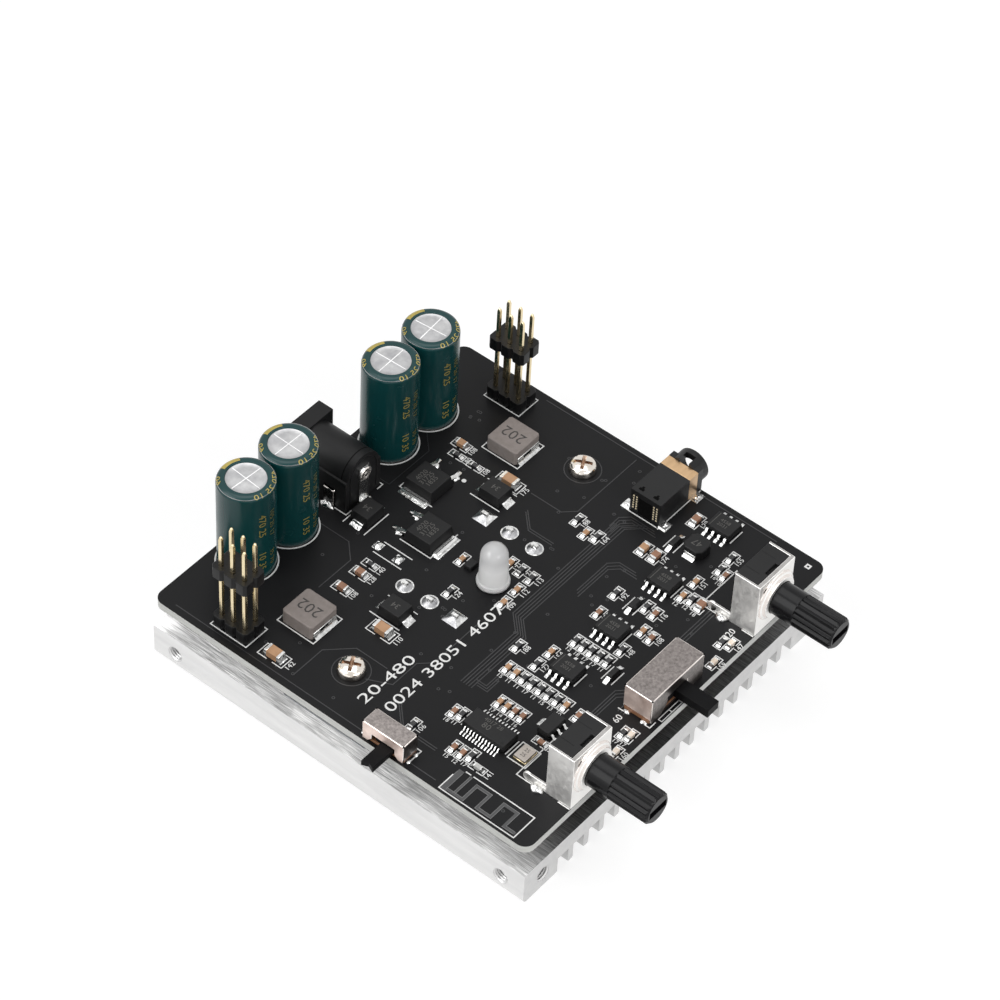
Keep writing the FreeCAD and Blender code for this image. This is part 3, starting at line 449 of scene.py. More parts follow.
def swept(bm, outline, width, place, mat=0, edge=0.0):
    """Flat outline of (along, height) points drawn out across its plane to a width."""
    work = bmesh.new()
    face = work.faces.new([work.verts.new((along, -width / 2, height)) for along, height in outline])
    grown = bmesh.ops.extrude_face_region(work, geom=[face])["geom"]
    bmesh.ops.translate(work, vec=(0, width, 0), verts=points_of(grown))
    bmesh.ops.recalc_face_normals(work, faces=work.faces)
    if edge:
        rounded(work, work.edges[:], edge, 1)
    coloured(work.faces, mat)
    merge(bm, work, place)


def softened(name, width=0.0, steps=2):
    """New mesh of a node of the frame, with its flat faces whole again and its edges rounded."""
    work = bmesh.new()
    work.from_mesh(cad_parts[name].data)
    bmesh.ops.scale(work, vec=Vector.Fill(3, 1 / METRE), verts=work.verts)
    bmesh.ops.remove_doubles(work, verts=work.verts, dist=0.002)
    bmesh.ops.dissolve_limit(work, angle_limit=math.radians(1), verts=work.verts, edges=work.edges)
    if width:
        sharp = [edge for edge in work.edges
                 if len(edge.link_faces) == 2 and edge.calc_face_angle() > math.radians(25)]
        rounded(work, sharp, width, steps)
    bm = bmesh.new()
    merge(bm, work)
    return bm


def solids(name):
    """Lowest and highest corner, in millimetres, of each separate solid of a node."""
    work = bmesh.new()
    work.from_mesh(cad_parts[name].data)
    bmesh.ops.remove_doubles(work, verts=work.verts, dist=0.000002)
    left = set(work.verts)
    boxes = []
    while left:
        group = [left.pop()]
        for vert in group:
            for edge in vert.link_edges:
                other = edge.other_vert(vert)
                if other in left:
                    left.discard(other)
                    group.append(other)
        low = Vector([min(vert.co[axis] for vert in group) / METRE for axis in range(3)])
        high = Vector([max(vert.co[axis] for vert in group) / METRE for axis in range(3)])
        boxes.append((low, high))
    work.free()
    return sorted(boxes, key=lambda box: (round(box[0].x, 3), round(box[0].y, 3), round(box[0].z, 3)))


def put(name, bm, materials, body="base", instead=(), smooth=40):
    """Places a finished mesh, in millimetres, as a piece that rides on a body.

    materials are names from the table of finishes or materials themselves."""
    bmesh.ops.scale(bm, vec=Vector.Fill(3, METRE), verts=bm.verts)
    mesh = bpy.data.meshes.new(name)
    bm.to_mesh(mesh)
    bm.free()
    for material in materials:
        mesh.materials.append(paint(material) if isinstance(material, str) else material)
    mesh.shade_smooth()
    mesh.set_sharp_from_angle(angle=math.radians(smooth))
    piece = bpy.data.objects.new(name, mesh)
    bpy.context.scene.collection.objects.link(piece)
    even = piece.modifiers.new("Even normals", "WEIGHTED_NORMAL")
    even.keep_sharp = True
    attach(piece, body)
    if instead:
        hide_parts(*instead)


def redone(name, source, material, width, steps, body="base", smooth=40):
    """Places a node's own shape again as a piece, with its edges rounded."""
    put(name, softened(source, width, steps), [material], body, (source,), smooth)


def dress(name, material):
    """Gives a node of the frame its material, which is a name from the table or a material."""
    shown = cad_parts[name]
    shown.data.materials.clear()
    shown.data.materials.append(paint(material) if isinstance(material, str) else material)


def figures(text, height, thickness, fineness, centred):
    """Mesh of a few figures, lying flat with their foot towards -Y."""
    curve = bpy.data.curves.new("figures", "FONT")
    curve.body = text
    curve.size = height / CAPITAL
    curve.extrude = thickness / 2
    curve.resolution_u = fineness
    if centred:
        curve.align_x = "CENTER"
        curve.align_y = "CENTER"
    holder = bpy.data.objects.new("figures", curve)
    mesh = bpy.data.meshes.new_from_object(holder)
    bpy.data.objects.remove(holder)
    bpy.data.curves.remove(curve)
    return mesh


written = {}


def lettering(text, height, thickness):
    """Mesh of figures about their middle, made once for each text and size."""
    key = (text, height, thickness)
    if key not in written:
        written[key] = figures(text, height, thickness, 2, True)
    return written[key]


def write(bm, text, height, place, mat=0, thickness=INK, bend=None):
    """Adds figures at a place, first passed through the function bend where one is given."""
    work = bmesh.new()
    work.from_mesh(lettering(text, height, thickness))
    if bend:
        long = [edge for edge in work.edges if edge.calc_length() > 0.5]
        bmesh.ops.subdivide_edges(work, edges=long, cuts=1)
        bend(work)
    coloured(work.faces, mat)
    merge(bm, work, place)


def line(bm, start, end, width, mat=0, z=TOP, thick=INK):
    """Printed stroke between two points of the board.

    Its thickness varies a little with its turn in the mesh, so that strokes that cross don't flicker."""
    start, end = Vector(start), Vector(end)
    run = end - start
    place = Matrix.Translation(((start.x + end.x) / 2, (start.y + end.y) / 2, z))
    place = place @ Matrix.Rotation(math.atan2(run.y, run.x), 4, "Z")
    step = 0.0013 * (len(bm.verts) // 8 % 7)
    reach = run.length / 2 + width / 2
    block(bm, (-reach, -width / 2, 0), (reach, width / 2, thick + step), mat, place=place)


def path(bm, points, width, mat=0, thick=INK):
    """Printed strokes from point to point."""
    for start, end in zip(points, points[1:]):
        line(bm, start, end, width, mat, thick=thick)


def frame_round(bm, left, front, right, back, width):
    """Printed rectangle."""
    path(bm, [(left, front), (right, front), (right, back), (left, back), (left, front)], width)


def ring(bm, x, y, radius, width, thick=INK, sides=48):
    """Flat ring on the board."""
    inner, outer = radius - width / 2, radius + width / 2
    spun(bm, [(inner, 0), (outer, 0), (outer, thick), (inner, thick), (inner, 0)], Vector((x, y, TOP)),
         steps=sides)


def blob(bm, x, y, radius, height, z=TOP, seed=1, stretch=(1, 1)):
    """Rounded drop of solder with an uneven skin."""
    rng = random.Random(seed)
    work = bmesh.new()
    bmesh.ops.create_uvsphere(work, u_segments=20, v_segments=10, radius=1.0)
    lean = Vector((rng.uniform(-0.25, 0.25), rng.uniform(-0.25, 0.25), 0))
    for vert in work.verts:
        level = max(vert.co.z, -0.15)
        turn = math.atan2(vert.co.y, vert.co.x)
        spread = 1.0 + 0.08 * math.sin(3 * turn + seed) + 0.05 * math.sin(5 * turn + 2 * seed)
        rise = level * height * (1 + 0.12 * math.sin(4 * turn + seed))
        spot = Vector((vert.co.x * stretch[0], vert.co.y * stretch[1], 0)) * spread * radius
        vert.co = spot + lean * max(level, 0) * radius + Vector((0, 0, rise))
    merge(bm, work, Vector((x, y, z)))


def wire(bm, points, radius, mat):
    """Round bead along points in space."""
    for start, end in zip(points, points[1:]):
        rod(bm, start, end, radius, mat, sides=8)


def facing(bm, normal, mat, least=0.9):
    """Gives the faces of a mesh that look one way another material."""
    for face in bm.faces:
        if face.normal.dot(normal) > least:
            face.material_index = mat


def edges_lit(bm, mat, least=0.97):
    """Gives the rounded edges of a box-like mesh another material, with which the callers paint highlights
    along them.
    """
    for face in bm.faces:
        if max(abs(face.normal.x), abs(face.normal.y), abs(face.normal.z)) < least:
            face.material_index = mat


def headline(bm, text, start, end, height=2.05):
    """Figures that fill the space between two points of the board, reading along X."""
    mesh = figures(text, height, INK, 3, False)
    work = bmesh.new()
    work.from_mesh(mesh)
    bpy.data.meshes.remove(mesh)
    low, high = min(vert.co.x for vert in work.verts), max(vert.co.x for vert in work.verts)
    for vert in work.verts:
        vert.co.x = start[0] + (vert.co.x - low) / (high - low) * (end[0] - start[0])
        vert.co.y += start[1] + (end[1] - start[1]) * (vert.co.x - start[0]) / (end[0] - start[0])
    merge(bm, work, Vector((0, 0, TOP + INK / 2)))


# ---------------------------------------------------------------- pieces

class DRIVER_OT_board(bpy.types.Operator):
    """Board mask, printed lines, figures, raised traces, vias and the printed antenna"""
    bl_idname = "driver.board"
    bl_label = "Board and its print"

    def execute(self, context):
        dress("circuit_board", board_mask())
        width = context.scene.board_looks.line / METRE
        bm = bmesh.new()
        printed_outlines(bm, width)
        put("board_print", bm, [ink()])

        bm = bmesh.new()
        traces(bm)
        put("board_traces", bm, ["raised_mask"])

        bm = bmesh.new()
        antenna(bm)
        put("board_antenna", bm, ["antenna_mask", "antenna_edge_highlight"])
        return {"FINISHED"}


def printed_outlines(bm, width):
    """Outlines round the larger parts."""
    for low, high in solids("inductor_cores"):
        if high.z - low.z > LARGE_INDUCTOR:
            x, y = (low.x + high.x) / 2, (low.y + high.y) / 2
            wide, deep = (high.x - low.x) / 2 + 0.3, 3.95
            frame_round(bm, x - wide, y - deep, x + wide, y + deep, width)
    for number in (1, 2, 3, 4):
        low, high = in_mm(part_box(f"capacitor_sleeve_{number}"))
        ring(bm, (low.x + high.x) / 2, (low.y + high.y) / 2, 5.3, width * 1.3, sides=64)
    for side in ("left", "right"):
        low, high = in_mm(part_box(f"{side}_header_base"))
        frame_round(bm, low.x - 0.1, low.y - 0.1, high.x + 0.1, high.y + 0.1, width)
    # antenna frame, with the gap where the feed crosses it
    path(bm, [(-35.9, -21.4), (-39.4, -21.4), (-39.4, -36.8), (-34.1, -36.8), (-34.1, -24.3)], width)
    line(bm, (-34.1, -23.6), (-34.1, -22.7), width)
    # fiducial mark and pin mark
    frame_round(bm, 37.55, -37.75, 38.25, -37.05, 0.3)
    spun(bm, [(0, 0), (0.42, 0), (0.42, INK), (0, INK)], Vector((14.6, 18.5, TOP)), steps=20)
    # rotary controls
    for side in ("left", "right"):
        low, high = in_mm(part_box(f"{side}_pot_bracket"))
        left, right, back = low.x - 0.15, high.x + 0.15, high.y + 1.9
        path(bm, [(left, back - 4.9), (left, back), (right, back), (right, back - 4.9)], width)
        line(bm, (left, low.y + 1.2), (left, low.y + 3.4), width)
    # power switch, with the small bar in front of it
    low, high = in_mm(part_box("power_switch_shell"))
    left = low.x - 0.6
    path(bm, [(left, low.y + 1.4), (left, low.y - 0.3), (low.x + 0.9, low.y - 0.3)], width)
    line(bm, (left, high.y + 0.3), (left, high.y - 1.4), width)
    path(bm, [(-5.15, -39.05), (0.3, -39.05), (0.3, -39.75), (-5.15, -39.75), (-5.15, -39.05)], width * 0.8)
    line(bm, (-2.4, -39.05), (-2.4, -39.75), width * 0.8)
    # mode switch
    low, high = in_mm(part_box("mode_switch_shell"))
    right = high.x + 0.4
    for y in (low.y - 0.45, high.y + 0.45):
        line(bm, (low.x + 0.6, y), (right, y), width)
    line(bm, (right, low.y - 0.45), (right, low.y + 1.2), width)
    # power socket and audio socket
    path(bm, [(-4.75, 31.5), (-4.75, 28.3), (-3.4, 28.3)], width)
    path(bm, [(3.4, 28.3), (4.75, 28.3), (4.75, 31.5)], width)
    line(bm, (27.8, -13.2), (39.6, -13.2), width)
    line(bm, (27.9, -13.2), (27.9, -6.4), width)
    # diodes, driver transistors and chips
    for low, high in solids("diode_cases"):
        big = high.z - TOP > LARGE_DIODE
        margin = 0.35 if big else 0.3
        along_x = high.x - low.x > high.y - low.y
        reach = 1.2 if big else 0.5
        for sign in (-1, 1):
            if along_x:
                y = (low.y - margin) if sign < 0 else (high.y + margin)
                line(bm, (low.x - reach, y), (high.x + reach * 0.3, y), width)
            else:
                x = (low.x - margin) if sign < 0 else (high.x + margin)
                line(bm, (x, low.y - reach * 0.3), (x, high.y + reach), width)
    for low, high in solids("driver_transistor_cases"):
        left, right, front, back = low.x - 0.3, high.x + 0.3, low.y - 0.3, high.y + 0.3
        if high.y - low.y < high.x - low.x:
            front, back = back, front
        path(bm, [(left, front), (left, back), (right, back)], width)
    for low, high in solids("chip_packages"):
        if high.y - low.y > 4.5:
            for y in (low.y - 0.3, high.y + 0.3):
                line(bm, (low.x + 0.3, y), (high.x - 0.3, y), width)
    low, high = in_mm(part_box("crystal_can"))
    frame_round(bm, low.x - 0.45, low.y - 0.45, high.x + 0.4, high.y + 0.75, width)
    headline(bm, "20-480", (-34.1, -1.35), (-21.4, -1.6))
    headline(bm, "10024 38051 46072", (-34.0, -5.75), (-1.2, -5.5))
    write(bm, "120", 1.25, flat(17.0, -36.6))
    write(bm, "60", 1.25, flat(-9.4, -34.0))
    chip_outlines(bm, width)


def chip_outlines(bm, width):
    """Bracket pairs and figures beside the chip capacitors, resistors and indicator lights."""
    rng = random.Random(7)
    every = []
    for name in ("ceramic_capacitors", "chip_resistors", "indicator_lights"):
        every += solids(name)
    centres = [((low.x + high.x) / 2, (low.y + high.y) / 2) for low, high in every]
    for (low, high), (x, y) in zip(every, centres):
        along_y = high.y - low.y > high.x - low.x
        half = max(high.x - low.x, high.y - low.y) / 2
        wide = min(high.x - low.x, high.y - low.y) / 2
        large = half > 1.3
        end, side, gap = half + (1.0 if large else 0.72), wide + (0.42 if large else 0.34), half * 0.42
        for sign in (-1, 1):
            outline = [(sign * gap, -side), (sign * end, -side), (sign * end, side), (sign * gap, side)]
            if along_y:
                outline = [(across, along) for along, across in outline]
            path(bm, [(x + dx, y + dy) for dx, dy in outline], width * 0.85)
        others = [spot for spot in centres if spot != (x, y)]
        beside = any(abs(spot[0] - x) < 0.7 and abs(spot[1] - y) < 1.9 for spot in others)
        before = any(abs(spot[1] - y) < 1.0 and abs(spot[0] - x) < 2.2 for spot in others)
        figure = str(rng.randint(101, 199))
        if along_y:
            write(bm, figure[:2] if before else figure, 0.95, flat(x, y - end - 0.75))
        elif beside:
            write(bm, figure[:2], 0.8, flat(x - end - 0.65, y, -90))
        else:
            write(bm, figure, 0.95, flat(x + 0.2, y - side - 0.75))


def traces(bm):
    """Bundles of tracks under the mask, seen as faint raised lines, and the edges of the copper areas."""
    bundles = (
        # points of the first track, number of tracks, step from track to track
        (((-20.0, -12.0), (-6.0, -12.0), (-3.0, -9.0), (24.0, -9.0)), 5, (0.0, 0.55)),
        (((24.0, -9.0), (27.0, -12.0)), 3, (0.0, 0.55)),
        (((-30.0, 2.0), (-28.0, -2.0), (-22.0, -2.0), (-20.0, -4.0), (-9.0, -4.0)), 1, (0.0, 0.0)),
        (((-19.0, -12.4), (-19.0, -14.5), (-16.0, -14.5)), 3, (0.45, 0.45)),
        (((-30.0, -5.5), (-33.5, -9.0), (-33.5, -16.0)), 2, (-0.5, 0.0)),
        (((-38.6, 36.0), (-38.6, -20.0)), 1, (0.0, 0.0)),
        (((38.9, 20.0), (38.9, -30.0)), 1, (0.0, 0.0)),
        (((-16.0, -31.0), (-6.0, -31.0), (-3.0, -34.0)), 3, (0.5, 0.5)),
        (((7.0, -12.6), (15.0, -12.6), (16.5, -14.1), (16.5, -17.5)), 3, (0.5, 0.5)),
        (((22.0, -7.6), (24.5, -7.6), (26.0, -9.1), (26.0, -14.0)), 3, (0.5, 0.5)),
        (((-8.0, -33.0), (8.0, -33.0), (10.0, -31.0), (21.0, -31.0)), 3, (0.0, -0.55)),
        (((-21.0, -30.0), (-21.0, -34.0), (-28.0, -34.0)), 2, (-0.5, -0.5)),
        (((-37.0, 11.5), (-30.0, 11.5), (-26.0, 7.5), (-26.0, 1.0)), 1, (0.0, 0.0)),
        (((20.0, 8.0), (20.0, 1.5), (22.0, -0.5), (38.0, -0.5)), 1, (0.0, 0.0)),
        (((-9.0, 31.0), (-9.0, 24.0), (-12.0, 21.0), (-20.0, 21.0)), 1, (0.0, 0.0)),
        (((5.5, 31.0), (5.5, 27.5), (16.0, 27.5), (19.0, 30.5)), 1, (0.0, 0.0)),
        (((13.0, -2.0), (13.0, 3.0), (16.0, 6.0)), 2, (0.5, 0.0)),
    )
    for points, copies, (step_x, step_y) in bundles:
        for copy in range(copies):
            path(bm, [(x + copy * step_x, y + copy * step_y) for x, y in points], 0.17, thick=0.018)
    # edges of the bare rings round the screws, and vias
    for low, high in solids("transistor_screws"):
        ring(bm, (low.x + high.x) / 2, (low.y + high.y) / 2, 3.25, 0.16, thick=0.02)
    rng = random.Random(3)
    for _ in range(110):
        x, y = rng.uniform(-38, 38), rng.uniform(-36, 28)
        ring(bm, x, y, 0.24, 0.14, thick=0.014, sides=12)


def antenna(bm):
    """Meandered copper strip under the mask, with painted highlights along its edges."""
    def strip(points, width):
        path(bm, points, width, thick=0.018)
        # thin lines of a lighter material along both edges: painted highlights
        for sign in (-1, 1):
            side = []
            for number, (x, y) in enumerate(points):
                before = Vector(points[max(number - 1, 0)])
                after = Vector(points[min(number + 1, len(points) - 1)])
                here = Vector((x, y))
                into = (here - before).normalized() if number else (after - here).normalized()
                out = (after - here).normalized() if number < len(points) - 1 else into
                normal = Vector((-into.y, into.x)) + Vector((-out.y, out.x))
                normal = normal / max(normal.length_squared / 2, 0.5)
                side.append(here + normal * sign * (width / 2 - 0.05))
            path(bm, side, 0.09, 1, 0.024)

    strip([(-34.9, -22.0), (-39.0, -22.0)], 1.1)
    strip([(-34.5, -24.0), (-38.8, -24.0)], 0.5)
    strip([(-38.8, -22.4), (-38.8, -25.8), (-35.2, -25.8), (-35.2, -28.6), (-38.6, -28.6), (-38.6, -31.4),
           (-35.2, -31.4), (-35.2, -34.2), (-38.6, -34.2), (-38.6, -36.2)], 0.6)


class DRIVER_OT_heatsink(bpy.types.Operator):
    """Brushed aluminium and the threads in its side holes"""
    bl_idname = "driver.heatsink"
    bl_label = "Heatsink"

    def execute(self, context):
        dress("insulating_pads", "pad_sheet")
        reach = 40.0
        bm = softened("heatsink")
        corner = [edge for edge in bm.edges
                  if all(vert.co.x < 0.1 - reach and vert.co.y > reach - 0.1 for vert in edge.verts)]
        rounded(bm, corner, 1.5, 5)
        sharp = [edge for edge in bm.edges if len(edge.link_faces) == 2 and edge.calc_face_angle() > 1.2
                 and edge.calc_length() > 3]
        rounded(bm, sharp, 0.1, 2)
        facing(bm, UP, 1)
        put("finned_heatsink", bm, [aluminium(), brushed_aluminium()], instead=("heatsink",))
        # tapped holes in the end walls: distance from the middle, height and turns of thread
        across, level, turns = 35.2, 3.2, 6
        bm = bmesh.new()
        for axis in ("X", "Y"):
            for sign in (-1, 1):
                for turn in range(turns):
                    spot = (sign * across, 0.25 + turn * 0.45 - reach)
                    place = lying(*(spot if axis == "X" else spot[::-1]), level, axis)
                    spun(bm, [(1.53, -0.2), (1.53, 0.2), (1.28, 0.0), (1.53, -0.2)], place, steps=24)
        put("side_hole_threads", bm, [aluminium()])
        return {"FINISHED"}


class DRIVER_OT_output_transistors(bpy.types.Operator):
    """Output transistors under the board, their solder joints on it and the cross-recessed screws"""
    bl_idname = "driver.output_transistors"
    bl_label = "Output transistors and screws"

    def execute(self, context):
        for side in ("left", "right"):
            dress(f"{side}_transistor_case", "chip_epoxy")
            dress(f"{side}_transistor_leadframe", "tinned_lead")
        bm = bmesh.new()
        joints = ((10.45, 5.0, round_joint), (10.4, -0.45, round_joint), (-10.4, 10.45, round_joint),
                  (-10.35, 5.05, round_joint), (10.45, 10.45, square_joint), (-10.4, -0.4, square_joint))
        for number, (x, y, joint) in enumerate(joints):
            joint(bm, x, y, number)
        put("output_solder_joints", bm, ["bright_solder", "tinned_lead", "solder_painted_shade"])
        bm = bmesh.new()
        for low, high in solids("transistor_screws"):
            cross_screw(bm, low, high)
        put("pan_head_screws", bm, ["bright_nickel", "recess_painted_shade"], instead=("transistor_screws",))
        return {"FINISHED"}


def round_joint(bm, x, y, seed):
    """Domed joint with a bright rim and the end of the lead in the middle, the dome in the darker copy of
    the solder, which is painted shade.
    """
    ring(bm, x, y, 1.44, 0.28, 0.07, 32)
    spun(bm, [(0, 0.62), (0.4, 0.6), (0.75, 0.46), (1.1, 0.2), (1.36, 0.06), (1.36, 0), (0, 0)],
         Vector((x, y, TOP)), 2, steps=28)
    blob(bm, x + 0.05, y - 0.08, 0.66, 0.8, TOP + 0.15, seed)


def square_joint(bm, x, y, seed):
    """Solder drawn up from a square pad to the end of the lead, with flat flanks, the left and rear ones in
    painted shade.
    """
    work = bmesh.new()
    reach = 1.58
    bmesh.ops.create_grid(work, x_segments=16, y_segments=16, size=reach)
    for vert in work.verts:
        far = max(abs(vert.co.x), abs(vert.co.y)) / reach
        sway = 0.06 * math.sin(5 * vert.co.x + seed) * math.sin(4 * vert.co.y)
        vert.co.z = 0.03 + (1.0 + sway) * max(1 - far, 0) ** 1.25
    border = [edge for edge in work.edges if edge.is_boundary]
    grown = bmesh.ops.extrude_edge_only(work, edges=border)["geom"]
    for vert in points_of(grown):
        vert.co.z = 0.0
    bmesh.ops.holes_fill(work, edges=[edge for edge in work.edges if edge.is_boundary], sides=0)
    joint_free(work)
    # left and rear flanks in the darker copy of the solder: painted shade
    for face in work.faces:
        spot = face.calc_center_median()
        left = face.normal.z > 0.1 and spot.x < -abs(spot.y) * 0.8
        rear = spot.y > abs(spot.x) * 1.2 and spot.y > 0.5
        if left or rear:
            face.material_index = 2
    merge(bm, work, Vector((x, y, TOP)))
    blob(bm, x, y, 0.36, 0.42, TOP + 0.85, seed)


def cross_screw(bm, low, high):
    """Pan head with a cross recess, on its shank."""
    work = bmesh.new()
    radius, height = (high.x - low.x) / 2, high.z - TOP
    shank, thread = TOP - low.z, 1.5
    outline = [(0, -shank), (thread - 0.25, -shank), (thread, -shank + 0.25), (thread, 0),
               (radius - 0.12, 0), (radius, 0.12), (radius, height * 0.42), (radius - 0.1, height * 0.62),
               (radius - 0.42, height * 0.83), (radius - 0.95, height * 0.95), (radius - 1.5, height),
               (0, height)]
    spun(work, outline, Vector((0, 0, 0)), steps=40)
    wide, long, depth = 0.33, radius * 0.66, height * 0.6
    for normal in (Vector((1, 0, 0)), Vector((0, 1, 0))):
        for offset in (-long, -wide, wide, long):
            bmesh.ops.bisect_plane(work, geom=work.verts[:] + work.edges[:] + work.faces[:],
                                   plane_co=normal * offset, plane_no=normal)

    def in_cross(face, share=1.0):
        """Whether a face's middle lies over the cross, whose arms may be given a share of their length."""
        spot = face.calc_center_median()
        across, along = sorted((abs(spot.x), abs(spot.y)))
        return across < wide and along < long * share

    recess = [face for face in work.faces
              if face.normal.z > 0.3 and face.calc_center_median().z > height * 0.6 and in_cross(face)]
    grown = bmesh.ops.extrude_face_region(work, geom=recess)["geom"]
    bmesh.ops.delete(work, geom=recess, context="FACES_ONLY")
    for vert in points_of(grown):
        vert.co.z = height - depth + 0.5 * depth * (abs(vert.co.x) + abs(vert.co.y)) / long
        vert.co.x *= 0.8
        vert.co.y *= 0.8
    joint_free(work)
    # walls of the cross recess in a darker, warm nickel: painted shade and warm reflection
    coloured([face for face in work.faces
              if in_cross(face, 0.995) and 0.1 < face.calc_center_median().z < height * 0.93], 1)
    merge(bm, work, flat((low.x + high.x) / 2, (low.y + high.y) / 2, 28, TOP))


class DRIVER_OT_capacitors(bpy.types.Operator):
    """Printed sleeves with rounded rims and scored aluminium tops"""
    bl_idname = "driver.capacitors"
    bl_label = "Capacitors"

    def execute(self, context):
        rim = context.scene.capacitor_looks.rim / METRE
        for number in (1, 2, 3, 4):
            low, high = in_mm(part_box(f"capacitor_sleeve_{number}"))
            foot = Vector(((low.x + high.x) / 2, (low.y + high.y) / 2, low.z))
            radius, height = (high.x - low.x) / 2, high.z - low.z
            bm = bmesh.new()
            outline = [(3.4, 0.1), (radius - 0.5, 0.1), (radius - 0.35, 0.0), (radius, 0.35),
                       (radius, 1.9), (radius - 0.05, 2.1), (radius, 2.3),
                       *arc(radius - rim, height - rim, rim, (90, 72, 54, 36, 18, 0)),
                       (3.56, height - 0.02), (3.5, height - 0.1), (3.48, height - 0.42), (3.4, 0.1)]
            spun(bm, outline, foot, steps=72)
            sleeve_figures(bm, foot, radius, height, rim, number)
            put(f"printed_sleeve_{number}", bm,
                [sleeve(), sleeve_print(share=0.8), sleeve_print("faint_print", 0.4),
                 sleeve_print("rim_print", 1.35)],
                instead=(f"capacitor_sleeve_{number}",), smooth=50)
            dress(f"capacitor_can_{number}", "can_metal")
            bm = bmesh.new()
            scored_top(bm, foot, height, number)
            put(f"scored_top_{number}", bm, ["can_metal", "score_painted_highlight"])
        return {"FINISHED"}


def scored_top(bm, foot, height, number):
    """Disc of the can seen inside the rim, dished, with its cross of pressed lines painted bright, which is
    a painted highlight.
    """
    level = foot + Vector((0, 0, height - 0.3))
    spun(bm, [(0, 0.04), (2.6, 0.05), (3.1, 0.0), (3.46, 0.12), (3.46, 0), (0, 0)], level)
    # the pressed lines in a bright material: painted highlight
    for turn, width in ((-7 + 3 * number, 0.2), (83 + 3 * number, 0.14)):
        reach = Vector((math.cos(math.radians(turn)), math.sin(math.radians(turn)))) * 3.15
        line(bm, foot.xy - reach, foot.xy + reach, width, 1, level.z + 0.04, 0.05)


def sleeve_figures(bm, foot, radius, height, rim, number):
    """Figures in columns down the side and round the rim, and the band that marks the negative lead."""
    skin = 0.012

    def around(angle):
        """Bends figures round the can, to read from top to bottom."""
        def bend(work):
            for vert in work.verts:
                turn = math.radians(angle) + vert.co.y / radius
                reach = radius + vert.co.z + skin
                vert.co = Vector((reach * math.cos(turn), reach * math.sin(turn), -vert.co.x))
        return bend

    drift = (0, 4, 0, 2)[number - 1]
    columns = ((-107 + drift, 1.35, 1, (("470 25", 12.9), ("10 35", 4.4))),
               (-82 + drift, 1.1, 2, (("105 20 17", 12.4), ("35 70", 4.2))))
    for angle, size, mat, words in columns:
        for text, level in words:
            write(bm, text, size, foot + Vector((0, 0, level)), mat, 0.02, around(angle))

    def over_rim(angle):
        """Bends figures along the rim, over its round."""
        def bend(work):
            for vert in work.verts:
                turn = math.radians(angle) - vert.co.x / radius
                roll = math.radians(38) - vert.co.y / rim * 0.62
                out = rim + vert.co.z + skin
                reach, level = radius - rim + out * math.sin(roll), height - rim + out * math.cos(roll)
                vert.co = Vector((reach * math.cos(turn), reach * math.sin(turn), level))
        return bend

    for angle, text in ((-75, "470 25 10"), (139, "60")):
        write(bm, text, 1.45, foot, 3, 0.02, over_rim(angle + drift))

    # band over the rim that marks the negative lead
    outer = arc(radius - rim, height - rim, rim + 0.015, (-12, 2, 16, 30, 44))
    inner = [(reach - 0.02 * math.sin(0.5), level - 0.03) for reach, level in reversed(outer)]
    work = bmesh.new()
    strip = [work.verts.new((reach, 0, level)) for reach, level in outer + inner]
    face = work.faces.new(strip)
    bmesh.ops.rotate(work, cent=(0, 0, 0), matrix=Matrix.Rotation(math.radians(56), 3, "Z"), verts=strip)
    bmesh.ops.spin(work, geom=[face] + strip + list(face.edges), cent=(0, 0, 0), axis=(0, 0, 1),
                   angle=math.radians(48), steps=14)
    joint_free(work)
    coloured(work.faces, 3)
    merge(bm, work, foot)


class DRIVER_OT_power_socket(bpy.types.Operator):
    """Barrel socket with its rivet, strip and solder"""
    bl_idname = "driver.power_socket"
    bl_label = "Power socket"

    def execute(self, context):
        low = in_mm(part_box("power_socket_housing"))[0]
        barrel = 4.1
        bm = softened("power_socket_housing", 0.1, 2)
        # dark ring at the seam of the barrel: painted shade
        sunk, proud = barrel - 0.1, barrel + 0.015
        spun(bm, [(sunk, -0.14), (proud, -0.09), (proud, 0.09), (sunk, 0.14), (sunk, -0.14)],
             lying(0, low.y + 1.35, AXIS), 2, 64)
        # arch pressed into the rear wall
        reach = barrel - 0.75
        curve = [(across, low.y, level) for across, level in arc(0, AXIS, reach, range(-90, 91, 12))]
        wire(bm, [(-reach, low.y, TOP + 0.7), *curve, (reach, low.y, TOP + 0.7)], 0.07, 1)
        put("moulded_power_socket", bm, ["black_moulding", "shaft_moulding", "painted_hollow_shade"],
            instead=("power_socket_housing",))
        bm = softened("power_socket_pin", 0.08, 2)
        spun(bm, [(0, 0.3), (0.45, 0.3), (0.55, 0.16), (0.8, 0.16), (0.9, 0.3), (1.2, 0.24), (1.42, 0.05),
                  (1.42, -0.2), (0, -0.2)], lying(0, low.y - 0.42, AXIS), 1, 32)
        put("socket_rivet_and_strip", bm, ["tinned_plate", "plating_and_edge_highlight"], instead=("power_socket_pin",))
        # contacts in a dark plate, a painted dark reflection, with painted highlights on their rounded
        # edges
        bm = softened("power_socket_contacts", 0.1, 1)
        edges_lit(bm, 1)
        put("socket_contacts", bm, ["plate_painted_shade", "plating_and_edge_highlight"], instead=("power_socket_contacts",))
        bm = bmesh.new()
        blob(bm, 0, low.y - 0.5, 1.35, 0.75, seed=11, stretch=(1.1, 0.7))
        blob(bm, low.x - 0.6, 32.3, 1.3, 0.8, seed=12, stretch=(0.65, 1.2))
        put("socket_solder", bm, ["bright_solder"])
        return {"FINISHED"}


